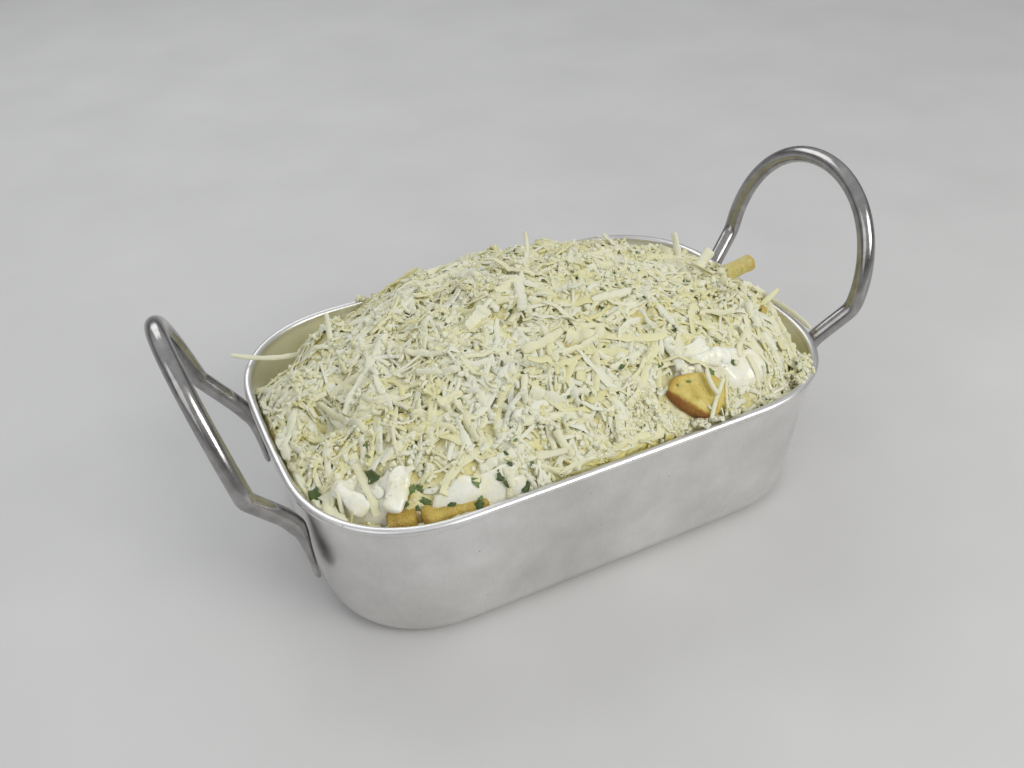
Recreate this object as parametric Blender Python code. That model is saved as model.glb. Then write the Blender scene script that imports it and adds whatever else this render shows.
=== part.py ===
"""Cheese fries in a small steel serving dish: fries, white sauce and shredded hard cheese, heaped over the rim.

Metres, +Z up. The origin is on the table under the middle of the dish. The dish's length runs along X, its two
wire handles stand at the ends, and the long side that faces the viewer is at -Y.
"""

import math
import random

import bmesh
import bpy
import numpy as np
from mathutils import Vector
from mathutils.bvhtree import BVHTree

MM = 0.001

# The dish: a pressed steel pan with a rolled rim
DISH_LENGTH = 160.0 * MM
DISH_WIDTH = 112.0 * MM
DISH_HEIGHT = 44.0 * MM
CORNER_RADIUS = 37.0 * MM
CORNER_POWER = 2.36
END_BOW = 2.6 * MM
SIDE_BOW = 0.5 * MM
BEAD_RADIUS = 1.2 * MM
RIM_INSET = 1.5 * MM
WALL = 0.9 * MM
TAPER = 3.9 * MM
FLOOR_FILLET = 5.3 * MM
WALL_TOP = DISH_HEIGHT - 2 * BEAD_RADIUS

# The handles: one bent rod at each end, its ends hammered flat and welded to the wall
ROD_RADIUS = 2.5 * MM
TAB_BOTTOM = 16.5 * MM
TAB_TOP = 33.0 * MM
TAB_HALF_WIDTH = 4.3 * MM
TAB_HALF_DEPTH = 1.0 * MM
TAB_LENGTH = 18.0 * MM
WELD_GAP = 0.35 * MM
BEND_RADIUS = 5.0 * MM
HANDLE_BENDS = {
    "handle_right": dict(
        side=1, shift=-2.9 * MM, root_y=26.0 * MM, root_x=1.6 * MM, root_z=38.2 * MM, knee_x=12.0 * MM,
        knee_y=30.0 * MM, knee_z=48.5 * MM, lean=76.2, shoulder=21.0 * MM, splay=3.6, crown=17.3 * MM,
        height=35.2 * MM,
    ),
    "handle_left": dict(
        side=-1, shift=-1.3 * MM, root_y=26.6 * MM, root_x=1.6 * MM, root_z=38.0 * MM, knee_x=10.2 * MM,
        knee_y=28.9 * MM, knee_z=49.4 * MM, lean=77.4, shoulder=5.5 * MM, splay=-9.5, crown=17.0 * MM,
        height=34.6 * MM,
    ),
}

# The heap: its surface, and the layers under it
FOOD_GAP = 0.35 * MM
EDGE_LEVEL = 42.0 * MM
CROWN_LEVEL = 68.5 * MM
CROWN_X = 14.0 * MM
LEAN_LEFT = 120.0 * MM
LEAN_RIGHT = 150.0 * MM
HEAP_POWER = 3.0
EDGE_MARGIN = 2.8 * MM
CHEESE_DEPTH = 3.2 * MM
SAUCE_DEPTH = 2.2 * MM
SHRED_ALLOWANCE = 1.2 * MM
HEAP_LUMP = 0.7 * MM

# Hollows and lumps of the heap: centre x, y, reach in x, y, and height, in millimetres
HEAP_FORMS = {
    "bare back left corner": (-63, 43, 22, 18, -11),
    "bare back right corner": (58, 44, 24, 18, -8),
    "gap at the right end": (75, -25, 7, 12, -9),
    "cleft in the left mound": (-63, -9, 5, 12, -4),
    "clump at the back left": (-51, 31, 7, 7, 4),
    "shoulder at the right front": (60, -26, 11, 15, 6),
    "left mound": (-66, 8, 9, 16, 2.5),
}

# Ring spacing of the heap's surface and of the layers under it, from the wall to the middle
OUTER_RINGS = (1.0, 0.96, 0.9, 0.81, 0.68, 0.5, 0.3, 0.1)
INNER_RINGS = (1.0, 0.92, 0.78, 0.5, 0.16)

# Fries that show, in millimetres: one end, the other end, half width, half depth
SHOWING_FRIES = {
    "front": ((-57, -44.6, 41.0), (-37, -47.5, 42.5), 4.2, 3.8),
    "front corner": ((-63, -43.0, 41.0), (-49, -44.5, 40.5), 3.6, 3.4),
    "front middle": ((-8, -46.5, 41.0), (13, -47.0, 41.5), 4.0, 3.6),
    "back right stub": ((56, -3, 51.5), (75, -6, 57.8), 3.4, 3.2),
    "left end": ((-68.5, 25, 35.0), (-70.5, 12.0, 39.0), 3.8, 3.6),
    "right end": ((64.5, -33, 30.5), (69.5, -10.0, 29.5), 3.8, 3.8),
    "right brown": ((51, -36, 50.0), (63.5, -26.5, 53.0), 3.4, 3.4),
    "crown right": ((14, -28, 59.2), (31, -24, 59.8), 3.4, 4.8),
    "left mound": ((-52, -26, 46.0), (-66, -14, 43.5), 3.6, 3.4),
}
WEDGE_ENDS = ((15.7, -46.0, 51.3), (35.7, -46.5, 50.8))
WEDGE_HALF_WIDTH = 6.8
WEDGE_HALF_DEPTH = 6.4

# Pools of sauce that show through the cheese, in millimetres: centre x, y, reach x, y, and half depth
SAUCE_POOLS = {
    "front left": (-56, -38, 14, 9, 2.8),
    "front": (-36, -45, 15, 4.6, 2.6),
    "right": (34, -36, 17, 7, 3.0),
    "right end": (53, -35, 9, 7, 2.6),
}

POOL_SUNK = 1.2 * MM
SHRED_GRID = (13, 10)
SHORT_SHRED = 13.0 * MM
SHRED_HALF_DEPTH = 0.45 * MM
LONG_HALF_DEPTH = 0.6 * MM
RAISED = 0.1 * MM
SHRED_SEED = 11
FLAT_ANGLE = math.radians(1.0)
# Long shreds that stand out, in millimetres: one end, the other end, half width
LONG_SHREDS = {
    "over the left rim": ((-56, 31, 45.0), (-79, 39, 46.6), 1.0),
    "left mound upright": ((-51, 25, 48.0), (-48, 37, 52.5), 1.0),
    "broad one on the left": ((-60, -13, 49.5), (-39, 8, 60.0), 1.7),
    "spike": ((8, 18, 62.0), (7, 19, 72.5), 0.8),
    "back right": ((44, 18, 56.0), (50, 24, 62.5), 1.2),
    "right side": ((65, -12, 53.5), (66, -33, 50.2), 1.2),
}
# Parsley flakes big enough to tell apart, in millimetres: x, y and half length
PARSLEY = (
    (-60, -38, 3.2), (-70, -30, 2.4), (-52, -45, 2.2), (-44, -46, 1.8), (-36, -44, 1.8), (-29, -46, 2.2),
    (-72, -6, 2.0), (-46, -20, 1.8), (-8, -6, 2.2), (12, -26, 2.2), (20, -30, 2.0), (52, -24, 2.0),
    (58, -18, 1.8), (38, 2, 2.0), (24, -12, 1.8), (0, -36, 1.8),
)


def clear_scene():
    for obj in list(bpy.data.objects):
        bpy.data.objects.remove(obj)


def new_collection(name):
    collection = bpy.data.collections.new(name)
    bpy.context.scene.collection.children.link(collection)
    return collection


def new_material(name, colour, roughness, metallic=0.0):
    material = bpy.data.materials.new(name)
    material.use_nodes = True
    shader = material.node_tree.nodes["Principled BSDF"]
    shader.inputs["Base Color"].default_value = (*colour, 1.0)
    shader.inputs["Roughness"].default_value = roughness
    shader.inputs["Metallic"].default_value = metallic
    return material


def outline_steps(corner_steps):
    """Each point of the outline as signs, place along the straight parts, and turn round the corner."""
    short = [(1.0, place, 0.0) for place in (0.0, 0.5)]
    corner = [(1.0, 1.0, turn) for turn in np.linspace(0.0, math.pi / 2, corner_steps + 1)]
    long = [(place, 1.0, math.pi / 2) for place in (0.5, 0.0)]
    quarter = short + corner + long
    steps = []
    for sign_x, sign_y in ((1, 1), (-1, 1), (-1, -1), (1, -1)):
        part = quarter if sign_x * sign_y > 0 else quarter[::-1]
        steps += [(sign_x, sign_y, *step) for step in part[:-1]]
    return np.array(steps)


DISH_STEPS = outline_steps(corner_steps=8)
FOOD_STEPS = outline_steps(corner_steps=4)


def outline(offset, steps):
    """Plan of the dish's rim moved outwards by offset, a number or one for each point: straight sides that bow
    a little, joined by corners on a superellipse."""
    sign_x, sign_y, place_x, place_y, turn = steps.T
    half_x = DISH_LENGTH / 2 + offset
    half_y = DISH_WIDTH / 2 + offset
    radius = CORNER_RADIUS + offset
    x = (half_x - radius) * place_x + radius * np.cos(turn).clip(0) ** (2 / CORNER_POWER)
    y = (half_y - radius) * place_y + radius * np.sin(turn).clip(0) ** (2 / CORNER_POWER)
    bowed_x = x - END_BOW * (y / half_y) ** 2 * x / half_x
    bowed_y = y - SIDE_BOW * (x / half_x) ** 2 * y / half_y
    return np.column_stack([sign_x * bowed_x, sign_y * bowed_y])


def ring(offset, level, steps=DISH_STEPS):
    """The outline at a height."""
    plan = outline(offset, steps)
    return np.column_stack([plan, np.full(len(plan), level)])


def solid(name, rings, material, collection, poles=(None, None)):
    """A closed body through rings of points. Each end is a flat cap, or a fan to a pole."""
    bm = bmesh.new()
    rows = [[bm.verts.new(point) for point in points] for points in rings]
    for lower, upper in zip(rows, rows[1:]):
        for k in range(len(lower)):
            j = (k + 1) % len(lower)
            bm.faces.new((lower[k], lower[j], upper[j], upper[k]))
    for row, pole in ((rows[0], poles[0]), (rows[-1], poles[1])):
        if pole is None:
            bm.faces.new(row)
            continue
        tip = bm.verts.new(pole)
        for k in range(len(row)):
            bm.faces.new((row[k], row[(k + 1) % len(row)], tip))
    bmesh.ops.triangulate(bm, faces=[face for face in bm.faces if len(face.verts) == 4])
    bmesh.ops.recalc_face_normals(bm, faces=bm.faces)
    mesh = bpy.data.meshes.new(name)
    bm.to_mesh(mesh)
    bm.free()
    mesh.materials.append(material)
    obj = bpy.data.objects.new(name, mesh)
    collection.objects.link(obj)
    return obj


def wall_offset(level):
    """How far the outer wall lies inside the rim's edge at a height."""
    return -RIM_INSET - TAPER * (WALL_TOP - level) / WALL_TOP


def build_dish(material, collection):
    """Floor, fillet, wall, rolled bead and back down the inside."""
    bottom_wall = wall_offset(FLOOR_FILLET)
    rings = []
    for angle in np.linspace(0.0, math.pi / 2, 5):
        inwards = FLOOR_FILLET * (1 - math.sin(angle))
        rings.append(ring(bottom_wall - inwards, FLOOR_FILLET * (1 - math.cos(angle))))
    rings.append(ring(wall_offset(WALL_TOP), WALL_TOP))
    for angle in np.radians((-60, -10, 40, 90, 135, 180)):
        out = BEAD_RADIUS * (math.cos(angle) - 1)
        rings.append(ring(out, DISH_HEIGHT - BEAD_RADIUS + BEAD_RADIUS * math.sin(angle)))
    rings.append(ring(wall_offset(WALL_TOP) - WALL, WALL_TOP - BEAD_RADIUS))
    inner_fillet = FLOOR_FILLET - WALL
    for angle in np.linspace(math.pi / 2, 0.0, 5):
        inwards = inner_fillet * (1 - math.sin(angle))
        rings.append(ring(bottom_wall - WALL - inwards, WALL + inner_fillet * (1 - math.cos(angle))))
    return solid("dish", rings, material, collection)


def rounded_path(points, radius, steps=4):
    """A polyline whose corners are rounded by short quadratic curves."""
    path = [points[0]]
    for before, corner, after in zip(points, points[1:], points[2:]):
        reach = min(radius, (before - corner).length / 2, (after - corner).length / 2)
        start = corner + (before - corner).normalized() * reach
        end = corner + (after - corner).normalized() * reach
        for t in np.linspace(0.0, 1.0, steps):
            path.append(start * (1 - t) ** 2 + corner * 2 * t * (1 - t) + end * t**2)
    return path + [points[-1]]


def loop_curve(bend, count=11):
    """Half of the handle's loop in its own leaning plane, from the knee to the top: a cubic curve."""
    splay = math.tan(math.radians(bend["splay"]))
    start = Vector((bend["knee_y"], 0.0))
    first = Vector((bend["knee_y"] + bend["shoulder"] * splay, bend["shoulder"]))
    second = Vector((bend["crown"], bend["height"]))
    end = Vector((0.0, bend["height"]))
    places = []
    for t in np.linspace(0.0, 1.0, count):
        s = 1 - t
        places.append(start * s**3 + first * 3 * s * s * t + second * 3 * s * t * t + end * t**3)
    return places


def handle_path(bend):
    """The rod's centre line: up the wall, out under the rim, and over in one leaning loop."""
    lean = math.radians(bend["lean"])
    end_x = DISH_LENGTH / 2
    wall_low = end_x + wall_offset(TAB_BOTTOM) + WELD_GAP + TAB_HALF_DEPTH
    wall_high = end_x + wall_offset(TAB_TOP) + WELD_GAP + TAB_HALF_DEPTH
    half = [
        Vector((wall_low, bend["root_y"], TAB_BOTTOM)),
        Vector((wall_high, bend["root_y"], TAB_TOP)),
        Vector((end_x + bend["root_x"], bend["root_y"], bend["root_z"])),
    ]
    for y, rise in loop_curve(bend):
        knee_x = end_x + bend["knee_x"]
        half.append(Vector((knee_x + rise * math.cos(lean), y, bend["knee_z"] + rise * math.sin(lean))))
    rounded = rounded_path(half[:5], BEND_RADIUS) + half[5:]
    mirrored = [Vector((point.x, -point.y, point.z)) for point in rounded[-2::-1]]
    return rounded + mirrored


def round_section(count, power=2.0):
    """Points round a superellipse of unit half width and half depth."""
    angles = np.linspace(0.0, 2 * math.pi, count, endpoint=False) + math.pi / count
    cosine, sine = np.cos(angles), np.sin(angles)
    bend = 2 / power
    return np.column_stack([np.sign(cosine) * abs(cosine) ** bend, np.sign(sine) * abs(sine) ** bend])


def sweep(name, path, out, half_widths, half_depths, section, material, collection, poles=False):
    """A section carried along a path. Its depth lies towards out, and its width across it."""
    path = [Vector(point) for point in path]
    rings = []
    for k, point in enumerate(path):
        along = (path[min(k + 1, len(path) - 1)] - path[max(k - 1, 0)]).normalized()
        depth = (out - along * out.dot(along)).normalized()
        width = along.cross(depth)
        rings.append([point + width * (u * half_widths[k]) + depth * (v * half_depths[k]) for u, v in section])
    ends = (path[0], path[-1]) if poles else (None, None)
    return solid(name, rings, material, collection, ends)


def build_handle(name, bend, material, collection):
    path = handle_path(bend)
    lengths = np.cumsum([0.0] + [(b - a).length for a, b in zip(path, path[1:])])
    from_end = np.minimum(lengths, lengths[-1] - lengths)
    flat = np.clip(from_end / TAB_LENGTH, 0.0, 1.0)
    leaf = 0.55 + 0.45 * np.sin(np.pi * np.clip(flat * 1.05 + 0.12, 0.0, 1.0))
    blend = flat**3
    half_widths = TAB_HALF_WIDTH * leaf * (1 - blend) + ROD_RADIUS * blend
    half_depths = TAB_HALF_DEPTH * (1 - blend) + ROD_RADIUS * blend
    lean = math.radians(bend["lean"])
    out = Vector((math.sin(lean), 0.0, -math.cos(lean)))
    placed = [Vector((p.x * bend["side"], p.y + bend["shift"], p.z)) for p in path]
    out.x *= bend["side"]
    return sweep(name, placed, out, half_widths, half_depths, round_section(10), material, collection)


def heap_height(x, y):
    """Height of the heap: a long mound, fullest right of the middle, that falls to the rim all round, with its
    hollows and lumps as smooth bumps."""
    away_x = np.abs(x / (DISH_LENGTH / 2 - EDGE_MARGIN))
    away_y = np.abs(y / (DISH_WIDTH / 2 - EDGE_MARGIN))
    away = np.clip((away_x**HEAP_POWER + away_y**HEAP_POWER) ** (1 / HEAP_POWER), 0.0, 1.0)
    lean = 1 - ((x - CROWN_X) / np.where(x < CROWN_X, LEAN_LEFT, LEAN_RIGHT)) ** 2
    height = EDGE_LEVEL + (CROWN_LEVEL - EDGE_LEVEL) * lean * (1 - away**1.5) ** 0.5
    for middle_x, middle_y, reach_x, reach_y, rise in HEAP_FORMS.values():
        far = ((x / MM - middle_x) / reach_x) ** 2 + ((y / MM - middle_y) / reach_y) ** 2
        height = height + rise * MM * np.exp(-far)
    waves = np.sin(x / (6.1 * MM) + 1.7 * np.sin(y / (9.3 * MM))) * np.cos(y / (5.3 * MM) + x / (17.0 * MM))
    return height + HEAP_LUMP * waves


def wall_ring(depth):
    """Where the food meets the wall, depth under the heap's surface."""
    offset = wall_offset(EDGE_LEVEL) - WALL - FOOD_GAP
    plan = outline(offset, FOOD_STEPS)
    level = heap_height(plan[:, 0], plan[:, 1]) - depth
    plan = outline(wall_offset(level) - WALL - FOOD_GAP, FOOD_STEPS)
    return np.column_stack([plan, level])


def heap_rings(depth, shares=INNER_RINGS):
    """Rings of a surface at a depth under the heap's, from the wall inwards, and its middle point."""
    edge = wall_ring(depth)
    rings = [edge]
    for share in shares[1:]:
        plan = edge[:, :2] * share
        rings.append(np.column_stack([plan, heap_height(plan[:, 0], plan[:, 1]) - depth]))
    middle = (0.0, 0.0, float(heap_height(np.float64(0.0), np.float64(0.0))) - depth)
    return rings, middle


def build_layer(name, top_depth, bottom_depth, material, collection, shares=INNER_RINGS):
    """A layer of the heap between two depths."""
    top, top_middle = heap_rings(top_depth, shares)
    bottom, bottom_middle = heap_rings(bottom_depth)
    return solid(name, bottom[::-1] + top, material, collection, (bottom_middle, top_middle))


def build_fries_core(depth, material, collection):
    """The fries under the sauce: they fill the dish up to the heap's inner surface."""
    bottom_wall = wall_offset(FLOOR_FILLET) - WALL - FOOD_GAP
    fillet = FLOOR_FILLET - WALL
    floor = WALL + FOOD_GAP
    rings = []
    for angle in np.linspace(0.0, math.pi / 2, 4):
        inwards = fillet * (1 - math.sin(angle))
        rings.append(ring(bottom_wall - inwards, floor + fillet * (1 - math.cos(angle)), FOOD_STEPS))
    top, middle = heap_rings(depth)
    return solid("fries", rings + top, material, collection, (None, middle))


def fry(name, ends, half_width, half_depth, material, collection, grown=0.0, seed=0):
    """One fry: a squarish bar, slightly bent and uneven, with blunt ends. Sizes are in millimetres."""
    rng = random.Random(seed)
    start, end = (Vector(point) * MM for point in ends)
    along = (end - start).normalized()
    start = start - along * grown
    end = end + along * grown
    bend = rng.uniform(-1.0, 1.0) * MM
    path, widths, depths = [], [], []
    for t, full in ((0.0, 0.72), (0.08, 0.95), (0.35, 1.0), (0.65, 0.96), (0.92, 1.0), (1.0, 0.76)):
        sag = Vector((0.0, bend * math.sin(math.pi * t), 0.0))
        path.append(start.lerp(end, t) + sag)
        widths.append(half_width * MM * full * rng.uniform(0.94, 1.06) + grown)
        depths.append(half_depth * MM * full * rng.uniform(0.94, 1.06) + grown)
    section = round_section(8, power=4.5)
    return sweep(name, path, Vector((0, 0, 1)), widths, depths, section, material, collection)


def wedge(name, material, collection, grown=0.0):
    """The potato wedge: two cut faces that meet in a ridge, over a rounded skin."""
    skin = [(math.cos(a), -0.35 - 0.65 * math.sin(-a)) for a in np.linspace(0.0, -math.pi, 7)]
    section = [(0.0, 0.75), (-0.5, 0.3), *[(-u, v) for u, v in skin], (0.5, 0.3)]
    start, end = (Vector(point) * MM for point in WEDGE_ENDS)
    along = (end - start).normalized()
    path, widths, depths = [], [], []
    for t, full in ((0.0, 0.42), (0.12, 0.78), (0.35, 1.0), (0.65, 1.0), (0.88, 0.76), (1.0, 0.4)):
        stretch = along * grown * (2 * t - 1)
        path.append(start.lerp(end, t) + stretch)
        widths.append(WEDGE_HALF_WIDTH * MM * full + grown)
        depths.append(WEDGE_HALF_DEPTH * MM * full + grown)
    facing = Vector((-0.15, -0.75, 0.65)).normalized()
    return sweep(name, path, facing, widths, depths, section, material, collection)


def pool(name, place, material, collection, grown=0.0):
    """A pool of sauce with a rippled outline, draped over the heap: it stands on the layer of sauce and rises
    through the cheese."""
    x, y, reach_x, reach_y, half_depth = place
    bm = bmesh.new()
    bmesh.ops.create_icosphere(bm, subdivisions=2, radius=1.0)
    for vertex in bm.verts:
        angle = math.atan2(vertex.co.y, vertex.co.x)
        ripple = 1 + 0.08 * math.sin(3 * angle + x) + 0.06 * math.sin(5 * angle + y)
        place_x = (x + vertex.co.x * reach_x * ripple) * MM
        place_y = (y + vertex.co.y * reach_y * ripple) * MM
        level = float(heap_height(np.float64(place_x), np.float64(place_y))) - SHRED_ALLOWANCE - POOL_SUNK
        draped = Vector((place_x, place_y, level + vertex.co.z * half_depth * MM))
        vertex.co = draped + vertex.co * grown
    mesh = bpy.data.meshes.new(name)
    bm.to_mesh(mesh)
    bm.free()
    mesh.materials.append(material)
    obj = bpy.data.objects.new(name, mesh)
    collection.objects.link(obj)
    return obj


def shred(name, path, facing, half_width, half_depth, material, collection):
    """A flat strip of cheese with square ends."""
    section = ((1, 1), (-1, 1), (-1, -1), (1, -1))
    widths = [half_width] * len(path)
    depths = [half_depth] * len(path)
    return sweep(name, path, facing, widths, depths, section, material, collection)


def ground_under(ground, x, y):
    """The point of the ground mesh under a place, and which way the ground faces there."""
    return ground.ray_cast(Vector((x, y, 2 * DISH_HEIGHT)), Vector((0.0, 0.0, -1.0)))[:2]


def laid_path(ground, x, y, angle, length, lift):
    """Two or three points of a strip that lies on the ground mesh with its ends lifted a little, and which way
    the strip faces. The path is empty if the strip runs off the ground."""
    path = []
    facing = Vector((0.0, 0.0, 0.0))
    for t in (-0.5, 0.5) if length < SHORT_SHRED else (-0.5, 0.0, 0.5):
        px = x + t * length * math.cos(angle)
        py = y + t * length * math.sin(angle)
        place, normal = ground_under(ground, px, py)
        if place is None or not clear_of_wall(px, py):
            return [], facing
        path.append(place + normal * (RAISED + lift * (2 * t) ** 2))
        facing += normal
    return path, facing


def clear_of_wall(x, y, share=0.93):
    away_x = abs(x / (DISH_LENGTH / 2 - EDGE_MARGIN))
    away_y = abs(y / (DISH_WIDTH / 2 - EDGE_MARGIN))
    return away_x**HEAP_POWER + away_y**HEAP_POWER < share**HEAP_POWER


def build_shreds(ground, material, collection):
    """One shred in each cell of a grid over the heap, at any angle, and the long ones that stand out."""
    rng = random.Random(SHRED_SEED)
    columns, rows = SHRED_GRID
    for cell in range(columns * rows):
        x = ((cell % columns + rng.random()) / columns - 0.5) * DISH_LENGTH
        y = ((cell // columns + rng.random()) / rows - 0.5) * DISH_WIDTH
        length = rng.uniform(9.0, 22.0) * MM
        path, facing = laid_path(ground, x, y, rng.uniform(0.0, math.pi), length, rng.uniform(0.0, 0.9) * MM)
        half_width = rng.uniform(0.9, 1.6) * MM
        if path:
            shred(f"shred_{cell:03d}", path, facing, half_width, SHRED_HALF_DEPTH, material, collection)
    for name, (start, end, half_width) in LONG_SHREDS.items():
        start, end = Vector(start) * MM, Vector(end) * MM
        middle = start.lerp(end, 0.5) + Vector((0.0, 0.0, 0.4 * MM))
        path = (start, middle, end)
        shred(name, path, Vector((0.0, 0.0, 1.0)), half_width * MM, LONG_HALF_DEPTH, material, collection)


def flake(name, ground, x, y, half_length, material, collection):
    """A parsley flake: a thin wavy leaf that lies on the ground mesh."""
    level = ground_under(ground, x, y)[0].z
    outer, thick = [], 0.5 * MM
    for k in range(6):
        angle = k * math.pi / 3 + x / MM
        reach = half_length * (1.0 if k % 2 else 0.62)
        wave = 0.35 * MM * math.cos(2 * angle)
        outer.append(Vector((x + reach * math.cos(angle), y + reach * math.sin(angle), level + wave)))
    low = [point + Vector((0.0, 0.0, -thick)) for point in outer]
    high = [point + Vector((0.0, 0.0, thick)) for point in outer]
    poles = (Vector((x, y, level - thick)), Vector((x, y, level + 1.6 * thick)))
    return solid(name, [low, high], material, collection, poles)


def apply_modifiers(obj):
    mesh = bpy.data.meshes.new_from_object(obj.evaluated_get(bpy.context.evaluated_depsgraph_get()))
    obj.modifiers.clear()
    obj.data = mesh


def combine(target, helpers, operation, solver="MANIFOLD"):
    """Joins a collection of closed pieces to the target, or cuts them out of it, and removes them."""
    modifier = target.modifiers.new(operation.lower(), "BOOLEAN")
    modifier.operation = operation
    modifier.operand_type = "COLLECTION"
    modifier.collection = helpers
    modifier.solver = solver
    bpy.context.view_layer.update()
    apply_modifiers(target)
    for obj in list(helpers.objects):
        bpy.data.objects.remove(obj)
    bpy.data.collections.remove(helpers)


def keep_main_body(obj):
    """Drops loose scraps and fills sealed hollows: both are shells apart from the largest one. Faces that lie
    in one plane are then joined."""
    bm = bmesh.new()
    bm.from_mesh(obj.data)
    unseen = set(bm.verts)
    shells = []
    while unseen:
        shell, edge = set(), [unseen.pop()]
        while edge:
            vertex = edge.pop()
            shell.add(vertex)
            for link in vertex.link_edges:
                other = link.other_vert(vertex)
                if other in unseen:
                    unseen.discard(other)
                    edge.append(other)
        shells.append(shell)
    shells.sort(key=len)
    scraps = [vertex for shell in shells[:-1] for vertex in shell]
    bmesh.ops.delete(bm, geom=scraps, context="VERTS")
    bmesh.ops.dissolve_limit(bm, angle_limit=FLAT_ANGLE, verts=bm.verts, edges=bm.edges)
    bmesh.ops.triangulate(bm, faces=bm.faces)
    bm.to_mesh(obj.data)
    bm.free()


def fry_pieces(material, collection, grown=0.0):
    for seed, (name, (start, end, half_width, half_depth)) in enumerate(SHOWING_FRIES.items()):
        fry("fry " + name, (start, end), half_width, half_depth, material, collection, grown, seed)
    wedge("wedge", material, collection, grown)


def build_food(fry_colour, sauce_colour, cheese_colour, parts):
    """Fries, sauce and cheese, each cut clear of the one that shows through it."""
    sauce_top = SHRED_ALLOWANCE + CHEESE_DEPTH
    fries_top = sauce_top + SAUCE_DEPTH
    fries = build_fries_core(fries_top + FOOD_GAP, fry_colour, parts)
    pieces = new_collection("showing_fries")
    fry_pieces(fry_colour, pieces)
    combine(fries, pieces, "UNION")
    keep_main_body(fries)

    sauce = build_layer("cream_sauce", sauce_top, fries_top, sauce_colour, parts)
    pools = new_collection("sauce_pools")
    for name, place in SAUCE_POOLS.items():
        pool("pool " + name, place, sauce_colour, pools)
    combine(sauce, pools, "UNION")
    cutters = new_collection("room_for_fries")
    fry_pieces(fry_colour, cutters, grown=FOOD_GAP)
    build_layer("room over the fries", fries_top + FOOD_GAP / 2, 2 * fries_top, fry_colour, cutters)
    combine(sauce, cutters, "DIFFERENCE")
    keep_main_body(sauce)

    under = sauce_top - FOOD_GAP
    cheese = build_layer("cheese", SHRED_ALLOWANCE, under, cheese_colour, parts, OUTER_RINGS)
    ground = BVHTree.FromPolygons(
        [vertex.co for vertex in cheese.data.vertices],
        [face.vertices for face in cheese.data.polygons],
    )
    shreds = new_collection("shreds")
    build_shreds(ground, cheese_colour, shreds)
    for k, (x, y, half_length) in enumerate(PARSLEY):
        flake(f"flake_{k:02d}", ground, x * MM, y * MM, half_length * MM, cheese_colour, shreds)
    combine(cheese, shreds, "UNION")
    cutters = new_collection("room_for_sauce_and_fries")
    fry_pieces(fry_colour, cutters, grown=FOOD_GAP)
    for name, place in SAUCE_POOLS.items():
        pool("room " + name, place, sauce_colour, cutters, grown=4.5 * FOOD_GAP)
    build_layer("room under the cheese", sauce_top - FOOD_GAP / 2, 2 * fries_top, sauce_colour, cutters)
    combine(cheese, cutters, "DIFFERENCE")
    keep_main_body(cheese)


def main():
    clear_scene()
    parts = new_collection("cheese_fries")
    steel = new_material("brushed steel", (0.56, 0.55, 0.54), 0.32, 1.0)
    fry_colour = new_material("fried potato", (0.78, 0.50, 0.12), 0.55)
    sauce_colour = new_material("white sauce", (0.88, 0.86, 0.76), 0.25)
    cheese_colour = new_material("hard cheese", (0.86, 0.84, 0.66), 0.6)
    build_dish(steel, parts)
    for name, bend in HANDLE_BENDS.items():
        build_handle(name, bend, steel, parts)
    build_food(fry_colour, sauce_colour, cheese_colour, parts)
    for obj in parts.objects:
        obj.data.shade_smooth()
        obj.data.set_sharp_from_angle(angle=math.radians(40))


main()
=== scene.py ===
"""Looks of the cheese fries: a steel serving dish with wire handles, and its heap of fries, white sauce,
shredded hard cheese and parsley. Metres, +Z up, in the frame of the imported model."""

import math
from itertools import combinations, product

import bpy
import numpy as np
from mathutils import Matrix, Vector


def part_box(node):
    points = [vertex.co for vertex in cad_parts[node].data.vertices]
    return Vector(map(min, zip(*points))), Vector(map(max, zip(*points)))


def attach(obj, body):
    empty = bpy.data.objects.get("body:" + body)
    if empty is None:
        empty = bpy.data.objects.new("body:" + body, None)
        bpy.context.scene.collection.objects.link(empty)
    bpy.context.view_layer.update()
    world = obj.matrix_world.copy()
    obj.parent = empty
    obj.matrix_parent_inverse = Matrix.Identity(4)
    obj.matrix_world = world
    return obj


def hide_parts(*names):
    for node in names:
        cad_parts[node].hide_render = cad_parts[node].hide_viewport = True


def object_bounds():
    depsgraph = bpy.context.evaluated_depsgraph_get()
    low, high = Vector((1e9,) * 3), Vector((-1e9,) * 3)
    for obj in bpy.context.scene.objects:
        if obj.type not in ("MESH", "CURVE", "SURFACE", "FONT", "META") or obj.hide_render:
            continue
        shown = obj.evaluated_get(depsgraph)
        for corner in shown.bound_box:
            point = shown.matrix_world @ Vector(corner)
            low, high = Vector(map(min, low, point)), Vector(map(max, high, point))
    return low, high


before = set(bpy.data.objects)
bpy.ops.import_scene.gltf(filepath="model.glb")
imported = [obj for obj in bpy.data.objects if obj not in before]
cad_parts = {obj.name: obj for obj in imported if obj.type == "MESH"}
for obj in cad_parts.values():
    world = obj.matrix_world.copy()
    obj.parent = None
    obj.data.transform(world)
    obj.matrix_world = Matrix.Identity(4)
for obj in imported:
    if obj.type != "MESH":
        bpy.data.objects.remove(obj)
CAD_LOW, CAD_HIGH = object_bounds()
DISH_LOW, DISH_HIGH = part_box("dish")

MM = 0.001

# The camera of the photograph, fitted to the dish
CAMERA_PLACE = Vector((-99.91, -215.09, 204.39)) * MM
CAMERA_AZIMUTH = math.radians(-23.635)
CAMERA_ELEVATION = math.radians(35.864)
CAMERA_ROLL = math.radians(-3.45)
PICTURE_WIDTH, PICTURE_HEIGHT = 1024, 768
FOCAL_PIXELS = 968.56
SENSOR_WIDTH = 36.0

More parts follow.
